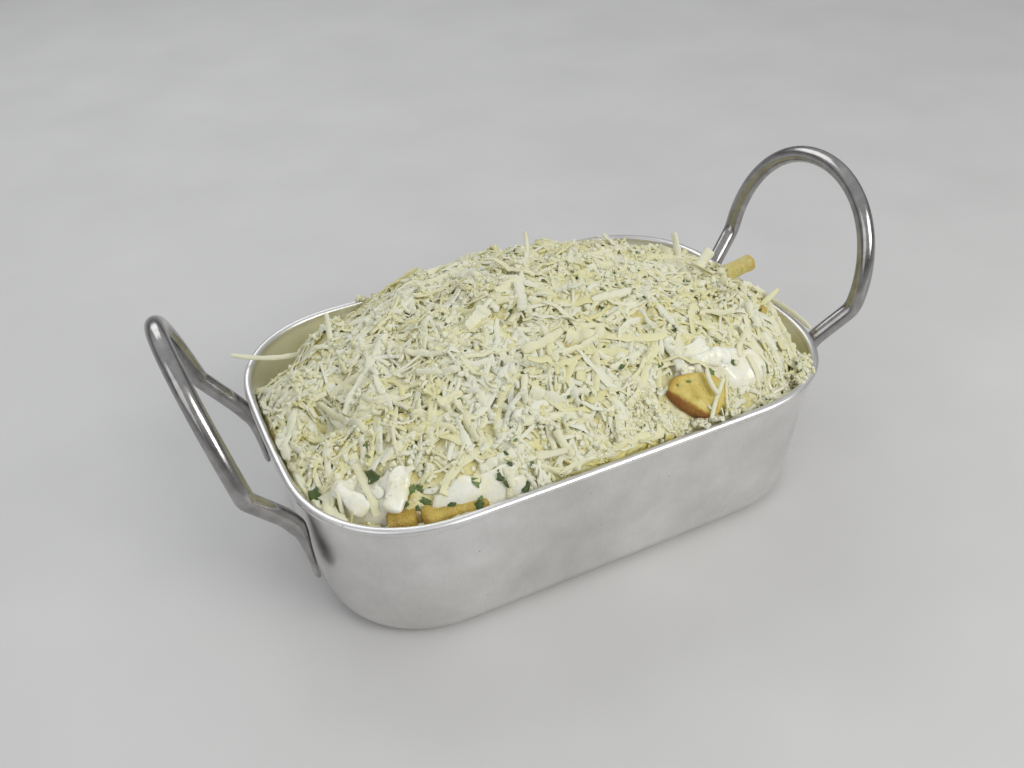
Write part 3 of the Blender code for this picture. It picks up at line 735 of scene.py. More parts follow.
def heap_surface(name, height, rows, floor_level):
    """A closed body under a height function: rings from the wall to the middle, and a base below them."""
    edge = outline(wall_offset(EDGE_LEVEL) - WALL - FOOD_GAP)
    level = height(edge[:, 0], edge[:, 1])
    edge = outline(wall_offset(level) - WALL - FOOD_GAP)
    shares = np.linspace(1.0, 0.0, rows, endpoint=False)
    plan = edge[None] * shares[:, None, None]
    top = np.concatenate([plan, height(plan[..., 0], plan[..., 1])[..., None]], axis=-1)
    base_plan = outline(wall_offset(floor_level) - WALL - FOOD_GAP)
    base = np.concatenate([base_plan, np.full((len(edge), 1), floor_level)], axis=1)
    rings = np.concatenate([[base], top])
    peak = (0.0, 0.0, float(height(np.zeros(1), np.zeros(1))[0]))
    return closed_rings(name, rings, (0.0, 0.0, floor_level), peak)


# Marks from 0 to 1 that keep shreds off the pools, the gap at the right end and the small openings
POOL_KEPT_OFF = 0.94
GAP_KEPT_OFF = 0.97
OPENING_KEPT_OFF = 0.8
# The gap's middle and reach in x and y, in millimetres
END_GAP = ((75.5, -24), (6, 12))
ON_TOP = 0.8 * MM


class Pile:
    """Height of the top of the pile on a square grid over the dish. What is laid on it raises it."""

    def __init__(self, height):
        self.columns = int(2 * HALF_LENGTH / CELL) + 1
        self.rows = int(2 * HALF_WIDTH / CELL) + 1
        across, along = np.arange(self.columns) * CELL - HALF_LENGTH, np.arange(self.rows) * CELL - HALF_WIDTH
        x, y = np.meshgrid(across, along)
        self.top = height(x, y)
        self.shown = POOL_KEPT_OFF * (bare(x, y) > 0.5)
        (middle_x, middle_y), (reach_x, reach_y) = END_GAP
        gap = ((x / MM - middle_x) / reach_x) ** 2 + ((y / MM - middle_y) / reach_y) ** 2
        self.shown[gap < 1] = GAP_KEPT_OFF

    def cells(self, x, y):
        column = np.clip((x + HALF_LENGTH) / CELL, 0, self.columns - 1.001)
        row = np.clip((y + HALF_WIDTH) / CELL, 0, self.rows - 1.001)
        return column, row

    def at(self, x, y):
        """Height at each place, blended between the four grid points round it."""
        column, row = self.cells(x, y)
        i, j = column.astype(int), row.astype(int)
        u, v = column - i, row - j
        low = self.top[j, i] * (1 - u) + self.top[j, i + 1] * u
        high = self.top[j + 1, i] * (1 - u) + self.top[j + 1, i + 1] * u
        return low * (1 - v) + high * v

    def nearest(self, x, y):
        column, row = self.cells(x, y)
        return np.round(row).astype(int), np.round(column).astype(int)

    def cover(self, points):
        np.maximum.at(self.top, self.nearest(points[..., 0], points[..., 1]), points[..., 2])

    def keep_off(self, row, column, share):
        """Marks cells from 0 to 1. The higher the marks under a shred, the likelier it is left out, and on a 1
        it always is."""
        self.shown[row, column] = np.maximum(self.shown[row, column], share)

    def show(self, points, share):
        """Keeps shreds off the cells where a piece lies on top, and off those beside them."""
        row, column = self.nearest(points[..., 0], points[..., 1])
        on_top = points[..., 2] > self.top[row, column] - ON_TOP
        row, column = row[on_top], column[on_top]
        for down, across in product((-1, 0, 1), repeat=2):
            near = np.clip(row + down, 0, self.rows - 1), np.clip(column + across, 0, self.columns - 1)
            self.keep_off(*near, share)

    def shown_at(self, x, y):
        return self.shown[self.nearest(x, y)]


def wall_share(x, y):
    """Distance from the dish's middle as a share of the way to the inner wall at the heap's edge."""
    edge = outline(wall_offset(EDGE_LEVEL) - WALL)
    turn = np.arctan2(edge[:, 1], edge[:, 0])
    order = np.argsort(turn)
    reach = np.interp(np.arctan2(y, x), turn[order], np.hypot(*edge.T)[order], period=2 * math.pi)
    return np.hypot(x, y) / reach


def camera_axes():
    """The camera's right, up and back directions."""
    sine_e, cosine_e = math.sin(CAMERA_ELEVATION), math.cos(CAMERA_ELEVATION)
    back = Vector((math.sin(CAMERA_AZIMUTH) * cosine_e, -math.cos(CAMERA_AZIMUTH) * cosine_e, sine_e))
    level = Vector((math.cos(CAMERA_AZIMUTH), math.sin(CAMERA_AZIMUTH), 0.0))
    upright = back.cross(level)
    right = level * math.cos(CAMERA_ROLL) + upright * math.sin(CAMERA_ROLL)
    return right, back.cross(right), back


# Loose shreds, fine to coarse: shreds a batch, stations along each, and the ranges of length, half width and
# half depth in millimetres
BATCHES = 10
SHRED_SORTS = {
    "chips": (130, 4, (1.8, 4.5), (0.45, 1.0), (0.2, 0.36)),
    "threads": (60, 7, (4, 12), (0.25, 0.42), (0.14, 0.22)),
    "narrow_shreds": (190, 9, (6, 16), (0.45, 0.85), (0.2, 0.32)),
    "broad_shreds": (130, 11, (8, 20), (0.8, 1.4), (0.2, 0.34)),
}
STRIP_SHARP_ANGLE = 85
CRUST_SHARP_ANGLE = 70
DEEPEST_SHADE = 3 * MM
STRIP_SECTION = np.array([(1, 0), (0.75, 1), (-0.75, 1), (-1, 0), (-0.75, -1), (0.75, -1)], float)
INNER_WALL = 0.982
# How far a shred turns along its length, in radians, evenly and more towards its ends
TURN_SPREAD, CURL_SPREAD = 0.8, 1.5
# A shred rests on the ground's higher places along it, sags as limply as drawn, and sinks in by so much at most
SUPPORT = 0.6
LIMPNESS = (2.2, 1.2)
MOST_SUNK = 0.6 * MM
# How far its ends bend up or down, and how large a share of the shreds has one end lifted by how much, as
# shares of its length
END_SPREAD = 0.022
LOOSE_SHARE = 0.022
LIFTS = (0.08, 0.3)
# How far it rolls about its line, in radians, all along and from end to end
ROLL_SPREAD, TWIST_SPREAD = 0.3, 0.6
# How firmly a mark keeps shreds off: the power taken of the marks' mean along a shred
KEPT_OFF_POWER = 0.2


def lay_shreds(pile, rng, count, stations, lengths, half_widths, half_depths):
    """One batch of shreds: each follows a curved line in plan, lies between the straight line over its highest
    supports and the pile's own surface, and raises the pile. Returns their rings, (shreds, stations, 6, 3).
    None that would touch a cell marked 1 is laid."""
    x = rng.uniform(-HALF_LENGTH, HALF_LENGTH, count)
    y = rng.uniform(-HALF_WIDTH, HALF_WIDTH, count)
    length = rng.uniform(*lengths, count)[:, None] * MM
    t = np.linspace(-0.5, 0.5, stations)
    heading = rng.uniform(0, 2 * math.pi, count)[:, None] + rng.normal(0, TURN_SPREAD, count)[:, None] * t
    heading = heading + rng.normal(0, CURL_SPREAD, count)[:, None] * t**2
    step = length / (stations - 1)
    px = np.cumsum(np.cos(heading) * step, axis=1)
    py = np.cumsum(np.sin(heading) * step, axis=1)
    px = px - px.mean(axis=1, keepdims=True) + x[:, None]
    py = py - py.mean(axis=1, keepdims=True) + y[:, None]
    shown = pile.shown_at(px, py)
    drawn = rng.random(count) > shown.mean(axis=1) ** KEPT_OFF_POWER
    kept = (wall_share(x, y) < 1) & drawn & (shown.max(axis=1) < 1)
    px, py, length = px[kept], py[kept], length[kept]
    inwards = np.minimum(1.0, INNER_WALL / wall_share(px, py))
    px, py = px * inwards, py * inwards
    count = len(px)
    ground = pile.at(px, py)
    slope = (ground * t).sum(axis=1, keepdims=True) / (t * t).sum()
    line = ground.mean(axis=1, keepdims=True) + slope * t
    line = line + np.quantile(ground - line, SUPPORT, axis=1)[:, None]
    limp = rng.beta(*LIMPNESS, count)[:, None]
    z = np.maximum(ground * limp + line * (1 - limp), ground - MOST_SUNK)
    z = z + rng.normal(0.0, END_SPREAD, count)[:, None] * length * (4 * t * t)
    lifted = np.where(rng.random(count) < LOOSE_SHARE, rng.uniform(*LIFTS, count), 0.0)[:, None]
    z = z + lifted * length * (t + 0.5) ** 1.5
    half_width = rng.uniform(*half_widths, count)[:, None] * MM
    half_depth = rng.uniform(*half_depths, count)[:, None] * MM
    roll = rng.normal(0, ROLL_SPREAD, count)[:, None] + rng.normal(0, TWIST_SPREAD, count)[:, None] * t
    z = z + half_depth * 0.8 + abs(np.sin(roll)) * half_width * 0.4
    path = np.stack([px, py, z], axis=-1)
    width = half_width * ragged(rng, t, count)
    rings = strip_rings(path, heap_normal(px, py), roll, width, half_depth + 0 * t)
    fine = np.concatenate([rings[:, :, 1:3], rings[:, :, 1:3].mean(axis=2, keepdims=True)], axis=2)
    pile.cover(fine)
    pile.cover((fine[:, 1:] + fine[:, :-1]) / 2)
    return rings


def ragged(rng, t, count):
    """Half width along a shred as a share: full in the middle, drawn in at the ends, and uneven."""
    taper = 1 - 0.4 * np.abs(2 * t) ** 6 * rng.uniform(0, 1, (count, 1))
    return taper * rng.uniform(0.84, 1.12, (count, len(t)))


def strip_rings(path, facing, roll, half_width, half_depth):
    """Rings of flat strips along many paths at once. A strip's flat side faces a given way, rolled about its
    line."""
    along = unit(np.gradient(path, axis=1))
    width = unit(np.cross(facing, along))
    depth = np.cross(along, width)
    cosine, sine = np.cos(roll)[..., None], np.sin(roll)[..., None]
    width, depth = width * cosine + depth * sine, depth * cosine - width * sine
    u, v = STRIP_SECTION[:, 0][:, None], STRIP_SECTION[:, 1][:, None]
    reach = width[:, :, None] * u * half_width[:, :, None, None]
    return path[:, :, None] + reach + depth[:, :, None] * v * half_depth[:, :, None, None]


def strips_mesh(name, rings):
    """Many closed strips as one mesh, from rings (shreds, stations, corners, 3)."""
    count, stations, corners = rings.shape[:3]
    sides = grid_quads(stations, corners)
    near_cap = np.array([(3, 2, 1, 0), (5, 4, 3, 0)])
    far_cap = (stations - 1) * corners + np.array([(0, 1, 2, 3), (0, 3, 4, 5)])
    one = np.concatenate([sides, near_cap, far_cap])
    quads = (np.arange(count)[:, None, None] * stations * corners + one).reshape(-1, 4)
    return new_mesh(name, rings, quads)


def add_strips(name, rings, tone, pile, material):
    """Puts strips in the scene, painted with each one's tone and with how deep each point lies in the pile, which
    the material turns into painted shade.
    """
    tones = np.broadcast_to(tone[:, None, None], rings.shape[:3])
    depth = np.clip((pile.at(rings[..., 0], rings[..., 1]) - rings[..., 2]) / DEEPEST_SHADE, 0, 1)
    painted = {"tone": tones, "depth": depth}
    add_piece(name, strips_mesh(name, rings), material, None, painted, STRIP_SHARP_ANGLE)


# Shreds that stand out, by pixels of the photograph: x, y of one end, x, y of the other, then in millimetres the
# half width and the lift of each end towards the camera
MARKED_SHREDS = (
    (345, 415, 385, 335, 1.4, 1.5, 1.7), (320, 405, 366, 431, 1.1, 1.5, 1.3),
    (264, 390, 300, 396, 1.1, 1.5, 1.3), (660, 246, 690, 280, 1.4, 1.9, 1.3),
    (722, 268, 727, 284, 1.3, 2.2, 1.3), (742, 284, 766, 296, 1.2, 1.7, 2.5),
    (766, 303, 795, 362, 1.4, 2.3, 1.3), (748, 302, 776, 352, 1.3, 1.5, 1.3),
    (480, 470, 524, 448, 1.3, 0.9, 0.9), (518, 282, 522, 309, 1.6, 1.4, 1.4),
    (522, 351, 562, 330, 1.4, 1.6, 1.6), (692, 356, 700, 372, 0.96, 1.7, 1.5),
    (460, 275, 495, 277, 1.2, 1.7, 1.5), (610, 368, 640, 352, 1.1, 1.3, 1.3),
    (525, 375, 526, 402, 0.96, 1.4, 1.4), (556, 430, 578, 470, 1.2, 1.4, 1.4),
    (592, 300, 632, 290, 1.2, 1.5, 1.5), (430, 350, 470, 342, 1.2, 1.4, 1.4),
    (278, 437, 302, 452, 0.96, 1.3, 1.3), (415, 372, 458, 369, 1.1, 1.4, 1.4),
    (600, 335, 560, 352, 0.96, 1.5, 1.5), (455, 395, 478, 440, 1.1, 1.4, 1.4),
    (375, 375, 392, 410, 1.2, 1.4, 1.4),
)
# Broad flakes, the same way
MARKED_FLAKES = (
    (330, 409, 362, 428, 1.9, 0.8, 0.6), (566, 336, 604, 335, 2.1, 0.9, 0.9),
    (468, 330, 486, 308, 2.2, 0.9, 0.9), (570, 262, 576, 247, 1.1, 1.5, 2.2),
    (530, 392, 560, 402, 1.9, 0.8, 0.8), (440, 405, 463, 396, 1.8, 0.8, 0.8),
)
# Shreds that stand up: the pixel of the foot, the pixel of the tip and the half width in millimetres
STANDING_SHREDS = (
    (331, 347, 326, 313, 0.9), (527, 252, 525, 232, 0.6), (678, 258, 674, 233, 1.3),
    (700, 268, 711, 250, 1.7), (762, 302, 778, 289, 0.8),
)
# Straight shreds that lie over the rim or across the wedge's face: the ends and the half width in millimetres
RIM_SHREDS = (
    ((-56, 31, 45.5), (-79, 39, 46.8), 0.8), ((78.9, -11.9, 44.9), (78.3, -31.0, 44.9), 0.85),
    ((28.5, -48.0, 57.5), (29.6, -52.6, 51.8), 0.65), ((26.2, -55.0, 47.0), (33.2, -49.6, 54.0), 0.6),
    ((34.4, -49.0, 54.5), (31.8, -54.2, 47.6), 0.5),
)


FOOT_SUNK = 2 * MM


def pixel_rays(pixels):
    """Directions from the camera through pixels of the photograph, one unit deep into the view."""
    pixels = np.asarray(pixels, float)
    right, up, back = (np.array(axis) for axis in camera_axes())
    across = (pixels[..., 0] - PICTURE_WIDTH / 2) / FOCAL_PIXELS
    above = (PICTURE_HEIGHT / 2 - pixels[..., 1]) / FOCAL_PIXELS
    return across[..., None] * right + above[..., None] * up - back


def under_pixels(pile, pixels):
    """Where the view through pixels of the photograph meets the pile: rays are stepped until they pass below it,
    and a ray that never does stops where it passes nearest above. Returns the points and how far away they are."""
    ray = pixel_rays(pixels)
    far = np.arange(180.0, 420.0, 0.2) * MM
    points = np.array(CAMERA_PLACE) + far[None, :, None] * ray[:, None]
    above = points[..., 2] - pile.at(points[..., 0], points[..., 1])
    above = np.where(wall_share(points[..., 0], points[..., 1]) < INNER_WALL, above, 1.0)
    first = np.where((above < 0).any(axis=1), np.argmax(above < 0, axis=1), np.argmin(above, axis=1))
    return points[np.arange(len(points)), first], far[first]


def towards_camera(points):
    return unit(np.array(CAMERA_PLACE) - points)


def marked_ends(pile, rows):
    """Both ends and the half width of each row: the places that two pixels show, lifted towards the camera."""
    table = np.array(rows, float)
    ends = []
    for pixel, lift in ((0, 5), (2, 6)):
        place, _ = under_pixels(pile, table[:, pixel:pixel + 2])
        ends.append(place + towards_camera(place) * table[:, lift:lift + 1] * MM)
    return *ends, table[:, 4] * MM


def lay_marked(name, pile, shreds, rng, material, depth_share=0.3):
    """Shreds laid between the places that two pixels each show. They sag to the pile but never sink into it."""
    lay_between(name, pile, *marked_ends(pile, shreds), rng, material, depth_share, 0.5)


def lay_standing(name, pile, shreds, rng, material):
    """Shreds that stand up from their feet, with their tips at the same depth in the view."""
    table = np.array(shreds, float)
    start, far = under_pixels(pile, table[:, :2])
    end = np.array(CAMERA_PLACE) + pixel_rays(table[:, 2:4]) * far[:, None]
    foot = start - FOOT_SUNK * unit(end - start)
    lay_between(name, pile, foot, end, table[:, 4] * MM, rng, material)


def lay_between(name, pile, start, end, half_width, rng, material, depth_share=0.35, sag=0.0):
    """Shreds from start to end, bent sideways as sin(pi t), that sag by a share of their height over the
    pile."""
    count, stations = len(start), 16
    t = np.linspace(0.0, 1.0, stations)
    path = start[:, None] + (end - start)[:, None] * t[:, None]
    side = unit(np.cross(end - start, towards_camera(start)))
    length = np.linalg.norm(end - start, axis=1)
    bend = rng.uniform(-0.07, 0.07, count) * length
    path = path + side[:, None] * (bend[:, None] * np.sin(math.pi * t))[..., None]
    ground = pile.at(path[..., 0], path[..., 1])
    half_depth = np.clip(half_width * depth_share, 0.25 * MM, 0.5 * MM)
    if sag:
        low = path[..., 2] + (ground - path[..., 2]) * sag * np.sin(math.pi * t)
        path[..., 2] = np.maximum(low, ground + half_depth[:, None])
    facing = towards_camera(path)
    roll = rng.normal(0, 0.2, (count, 1)) + rng.normal(0, 0.5, (count, 1)) * (t - 0.5)
    width = half_width[:, None] * ragged(rng, t - 0.5, count)
    rings = strip_rings(path, facing, roll, width, half_depth[:, None] + 0 * t)
    pile.cover(rings[:, :, 1:3])
    add_strips(name, rings, rng.uniform(0.2, 0.6, count), pile, material)


def icosphere(level):
    """Points and faces of a unit sphere with 20 faces, or 80 at level 1: each face is split in four."""
    golden = (1 + 5**0.5) / 2
    corners = [(0, a, b * golden) for a in (-1, 1) for b in (-1, 1)]
    points = unit(np.array([np.roll(corner, k) for k in range(3) for corner in corners], float))
    far = np.linalg.norm(points[:, None] - points[None], axis=-1)
    near = (far > 0.1) & (far < 1.1)
    faces = [(a, b, c) for a, b, c in combinations(range(12), 3) if near[a, b] and near[b, c] and near[a, c]]
    faces = [face if np.linalg.det(points[list(face)]) > 0 else face[::-1] for face in faces]
    for _ in range(level):
        middles = {}
        split = []
        for face in faces:
            inner = []
            for a, b in zip(face, face[1:] + face[:1]):
                key = (min(a, b), max(a, b))
                if key not in middles:
                    middles[key] = len(points)
                    points = np.concatenate([points, unit(points[a] + points[b])[None]])
                inner.append(middles[key])
            (a, b, c), (p, q, r) = face, inner
            split += [(a, p, r), (b, q, p), (c, r, q), (p, q, r)]
        faces = split
    return points, np.array(faces)


CRUMB_ROUGHNESS = 0.35
CRUMB_STRETCH = (0.55, 1.35)


def scatter(name, place, size, rng, level, material, attributes):
    """Many irregular crumbs as one mesh: unit spheres pushed in and out at random, stretched, turned and
    placed."""
    points, faces = icosphere(level)
    count = len(place)
    shape = points[None] * (1 + rng.uniform(-CRUMB_ROUGHNESS, CRUMB_ROUGHNESS, (count, len(points), 1)))
    shape = shape * rng.uniform(*CRUMB_STRETCH, (count, 1, 3))
    turn = np.linalg.qr(rng.normal(size=(count, 3, 3)))[0]
    turn = turn * np.sign(np.linalg.det(turn))[:, None, None]
    shape = np.einsum("nij,nkj->nki", turn, shape) * size[:, None, None] + place[:, None]
    triangles = (np.arange(count)[:, None, None] * len(points) + faces).reshape(-1, 3)
    mesh = new_mesh(name, shape, np.zeros((0, 4), int), triangles)
    painted = {key: np.repeat(value, len(points)) for key, value in attributes.items()}
    add_piece(name, mesh, material, attributes=painted, sharp_angle=60)


# Fries that show, in millimetres: one end, the other end, half width, half depth, browning, the mark from 0
# to 1 that keeps shreds off it, and from where along it
SHOWING_FRIES = {
    "front": ((-52.5, -47.0, 39.6), (-35.5, -49.4, 40.6), 3.6, 3.2, 0.25, 1.0, 0.1),
    "front_corner": ((-60.5, -44.3, 39.4), (-53.3, -46.6, 39.9), 3.0, 3.0, 0.45, 0.95, 0.2),
    "front_middle": ((-8, -46.5, 41.0), (13, -47.0, 41.5), 4.0, 3.6, 0.5, 0.5, 0.0),
    "back_right_stub": ((56, -3, 51.0), (75, -6, 56.6), 2.4, 2.1, -0.2, 1.0, 0.55),
    "left_end": ((-68.5, 25, 35.0), (-70.5, 12.0, 39.0), 3.8, 3.6, 0.2, 0.8, 0.0),
    "right_end": ((64.5, -33, 30.5), (69.5, -10.0, 29.5), 3.8, 3.8, 0.4, 0.0, 0.0),
    "right_brown": ((49.5, -35, 50.6), (61.5, -26.0, 53.4), 3.4, 3.4, 0.1, 1.0, 0.75),
    "crown_right": ((13.5, -28, 59.2), (25, -21.8, 60.4), 1.9, 2.3, -0.7, 0.85, 0.6),
    "left_mound": ((-52, -26, 46.0), (-66, -14, 43.5), 3.6, 3.4, -0.3, 0.0, 0.0),
}


def build_fry(name, ends, half_width, half_depth, browning, kept_off, shows_from, material, pile):
    """A squarish bar, slightly bent, with blunt ends and a blistered crust."""
    start, end = (np.array(point, float) * MM for point in ends)
    t = np.linspace(0.0, 1.0, 70)
    bend = noise(start[0], start[1], start[2], 9 * MM) * MM
    sway = np.array([0.0, 1.0, 0.0]) * (bend * np.sin(math.pi * t))[:, None]
    path = start + (end - start) * t[:, None] + sway
    full = 0.95 + 0.05 * noise(t * 40 * MM, start[0], start[1], 9 * MM)
    blunt = np.clip(np.minimum(t, 1 - t) / 0.09, 0, 1)
    full = full * (0.45 + 0.55 * np.sqrt(1 - (1 - blunt) ** 2))
    section = round_section(56, 4.2)
    rings = swept(path, np.array([0.0, 0.0, 1.0]), half_width * MM * full, half_depth * MM * full, section)
    out = unit(rings - path[:, None])
    place = np.moveaxis(rings, -1, 0)
    crags = 0.22 * noise(*place, 2.4 * MM, 2) + 0.16 * np.abs(noise(*place, 0.9 * MM, 2))
    rings = rings + out * (crags * MM)[..., None]
    mesh = closed_rings(name, rings, path[0], path[-1])
    colouring = browning + 0.35 * (1 - np.clip(np.minimum(t, 1 - t) / 0.12, 0, 1))
    painted = np.concatenate([np.repeat(colouring, len(section)), [browning + 0.2] * 2])
    add_piece("fry_" + name, mesh, material, None, {"browning": painted}, CRUST_SHARP_ANGLE)
    pile.cover(rings)
    pile.show(rings[t >= shows_from], kept_off)


# The wedge's cut face in millimetres across and up its plane, the face's middle, and the way it faces
WEDGE_CORNERS = (
    (-4.9, 5.9), (-0.9, 6.1), (2.9, 5.6), (5.7, 4.4), (7.8, 2.3), (8.0, -0.7), (6.7, -3.7), (4.5, -6.2),
    (0.8, -6.5), (-2.2, -5.1), (-4.8, -2.9), (-7.3, 0.0), (-8.0, 2.0), (-6.7, 4.1),
)
WEDGE_MIDDLE = (25.15, -49.84, 51.6)
WEDGE_FACING = (-0.149, -0.747, 0.648)
SKIN_SIDE = (-0.62, -0.78)


def build_wedge(material, pile):
    """A piece cut from a potato: a face with soft edges that curves back to its browned skin at the lower left,
    and sides that run back into the heap. Each ring is the face's outline drawn in by a share and set back."""
    facing = unit(np.array(WEDGE_FACING))
    across = unit(np.cross((0.0, 0.0, 1.0), facing))
    up = np.cross(facing, across)
    corners = np.array(WEDGE_CORNERS, float) * MM
    t = np.linspace(0.0, 1.0, 8, endpoint=False)[:, None]
    face = np.concatenate([a + (b - a) * t for a, b in zip(corners, np.roll(corners, -1, axis=0))])[::-1]
    for _ in range(6):
        face = (np.roll(face, 1, axis=0) + face * 2 + np.roll(face, -1, axis=0)) / 4
    back = np.array([8.0, 5.0, 2.5, 1.2, 0.6, 0.25, 0.05, 0, 0, 0, 0, 0, 0, 0]) * MM
    share = np.array([0.8, 0.95, 1.0, 1.0, 0.985, 0.96, 0.93, 0.87, 0.8, 0.7, 0.58, 0.44, 0.3, 0.12])
    flat = face[None] * share[:, None, None]
    skin = flat @ np.array(SKIN_SIDE) / MM
    set_back = back[:, None] + 1.3 * MM * np.clip((skin - 2.4) / 2.6, 0, 1) ** 2
    middle = np.array(WEDGE_MIDDLE) * MM
    rings = middle + flat[..., :1] * across + flat[..., 1:] * up - set_back[..., None] * facing
    place = np.moveaxis(rings, -1, 0)
    dents = 0.35 * noise(*place, 4.5 * MM, 2) + 0.12 * noise(*place, 1.4 * MM, 2)
    rings = rings + facing * (dents * MM)[..., None]
    mesh = closed_rings("potato_wedge", rings, middle - facing * back[0], middle + facing * 0.2 * MM)
    ragged_skin = skin + 0.5 * noise(*place, 2.5 * MM, 3)
    edge = np.clip((ragged_skin - 2.3) / 0.9, 0, 1) * 0.75 + np.clip(back[:, None] / (2.0 * MM), 0, 1) * 0.4
    edge = edge + np.clip((share[:, None] - 0.86) / 0.12, 0, 1) * 0.16
    painted = np.concatenate([edge.ravel(), [0.9, 0.0]])
    add_piece("potato_wedge", mesh, material, None, {"browning": painted}, CRUST_SHARP_ANGLE)
    pile.cover(rings)
    pile.show(rings[4:], 1.0)


# Sticks coated in sauce, given in the same way as the marked shreds
COATED_STICKS = (
    (404, 466, 391, 513, 3.0, 1.0, 1.4), (335, 487, 368, 512, 2.2, 0.8, 0.8),
    (352, 478, 384, 496, 1.6, 0.6, 0.6), (667, 338, 684, 371, 1.9, 0.9, 1.0),
    (681, 373, 708, 369, 1.4, 1.0, 1.0), (694, 361, 730, 355, 2.4, 0.9, 0.8),
)


def build_coated_sticks(material, pile):
    """Thick rounded sticks half sunk in the sauce."""
    t = np.linspace(0.0, 1.0, 40)
    for number, (a, b, half_width) in enumerate(zip(*marked_ends(pile, COATED_STICKS))):
        path = a + (b - a) * t[:, None]
        round_end = np.sqrt(1 - (1 - np.clip(np.minimum(t, 1 - t) / 0.12, 0, 1)) ** 2) * 0.8 + 0.2
        swell = 1 + 0.3 * noise(t * 12 * MM, number * 5 * MM, 0 * t, 4 * MM, 2)
        widths, depths = half_width * round_end * swell * (0.8 + 0.3 * t), 0.55 * half_width * round_end
        rings = swept(path, towards_camera(a), widths, depths, round_section(36, 2.6))
        place = np.moveaxis(rings, -1, 0)
        rings = rings + unit(rings - path[:, None]) * (0.4 * MM * noise(*place, 2.2 * MM, 3))[..., None]
        mesh = closed_rings("coated_stick_%d" % number, rings, path[0], path[-1])
        add_piece("coated_stick_%d" % number, mesh, material, sharp_angle=80)
        pile.cover(rings)
        pile.show(rings, 0.95)


def build_parsley(pile, rng, material):
    """Leaf flakes where the photograph shows them, and small specks between."""
    flakes = np.array(PARSLEY_PIXELS, float)
    place, _ = under_pixels(pile, flakes[:, :2])
    leaves(place, 0.72 * flakes[:, 2] * MM, rng, "parsley_flakes", material)
    x = rng.uniform(-0.9 * HALF_LENGTH, 0.9 * HALF_LENGTH, 230)
    y = rng.uniform(-0.9 * HALF_WIDTH, 0.9 * HALF_WIDTH, 230)
    kept = wall_share(x, y) < 0.93
    specks = np.stack([x, y, pile.at(x, y)], axis=1)[kept]
    leaves(specks, rng.uniform(0.2, 0.62, kept.sum()) * MM, rng, "parsley_specks", material)


def leaves(place, sizes, rng, name, material):
    """Thin wavy leaves on the heap's slope: a disc of two rings with a notched outline, reach = 1 + notch
    cos(5a), and a height that waves, both faces a fifth of a millimetre apart at most."""
    count, columns = len(place), 12
    angle = np.linspace(0, 2 * math.pi, columns, endpoint=False)
    phase = rng.uniform(0, 2 * math.pi, (count, 1))
    reach = 1 + 0.17 * np.cos(5 * angle + phase) + rng.uniform(-0.16, 0.16, (count, columns))
    longer = rng.uniform(1.0, 1.7, (count, 1))
    u, v = reach * np.cos(angle) * longer, reach * np.sin(angle) / longer**0.5
    wave = 0.3 * np.cos(2 * angle + 2 * phase) + rng.uniform(-0.08, 0.08, (count, columns))
    normal = heap_normal(place[:, 0], place[:, 1])
    normal = unit(normal + rng.normal(0, 0.22, normal.shape))
    turn = unit(np.cross(normal, rng.normal(size=normal.shape)))
    side = np.cross(normal, turn)
    lift = place + normal * (sizes * 0.3)[:, None]

    def ring(share, rise):
        flat = turn[:, None] * (u * share)[..., None] + side[:, None] * (v * share)[..., None]
        high = normal[:, None] * (wave * share**2)[..., None]
        return lift[:, None] + (flat + high) * sizes[:, None, None] + normal[:, None] * rise

    thin = 0.09 * MM
    section = ((0.5, -thin), (1.0, -0.3 * thin), (1.0, 0.3 * thin), (0.5, thin))
    rings = [ring(share, rise) for share, rise in section]
    poles = [lift - normal * thin, lift + normal * thin]
    points = np.concatenate([np.stack(rings, axis=1).reshape(count, -1, 3), np.stack(poles, axis=1)], axis=1)
    step = (np.arange(count) * points.shape[1])[:, None, None]
    quads = (step + grid_quads(len(rings), columns)).reshape(-1, 4)
    triangles = (step + pole_fans(len(rings), columns)).reshape(-1, 3)
    tone = np.repeat(rng.uniform(0, 1, count), points.shape[1])
    add_piece(name, new_mesh(name, points, quads, triangles), material, None, {"tone": tone})


# Parsley flakes by their pixels in the photograph, and half length in millimetres
PARSLEY_PIXELS = (
    (373, 478, 3.0), (315, 495, 2.3), (412, 490, 1.7), (420, 490, 1.5), (406, 504, 1.1), (426, 502, 1.6),
    (418, 508, 1.0), (447, 486, 1.2), (452, 505, 1.2), (477, 482, 1.6), (500, 477, 1.5), (507, 484, 1.1),
    (526, 488, 1.5), (481, 498, 1.0), (479, 505, 1.6), (287, 423, 0.9), (288, 433, 0.8), (412, 440, 0.8),
    (401, 414, 0.8), (366, 446, 0.9), (408, 395, 0.8), (468, 446, 0.8), (516, 254, 0.9), (464, 353, 0.9),
    (474, 362, 0.8), (406, 396, 0.9), (372, 419, 0.8), (623, 365, 1.6), (660, 366, 1.0), (648, 371, 0.8),
    (631, 389, 0.9), (589, 366, 0.8), (602, 361, 0.8), (556, 406, 0.9), (590, 400, 0.8), (643, 428, 1.3),
    (733, 363, 1.1), (710, 372, 1.5), (747, 337, 1.2), (772, 336, 1.0), (760, 311, 0.9), (748, 298, 1.0),
    (677, 330, 1.3), (716, 342, 1.0), (607, 316, 0.8), (602, 308, 0.9), (687, 281, 0.8), (704, 269, 0.9),
    (711, 269, 0.8), (554, 383, 0.8), (608, 381, 0.8),
)


# Crumbs and powder: how many are drawn, level of the sphere, and the range of radius in millimetres
FINE_CHEESE = {"crumbs": (3400, 1, (0.3, 0.9)), "powder": (11000, 0, (0.15, 0.38))}
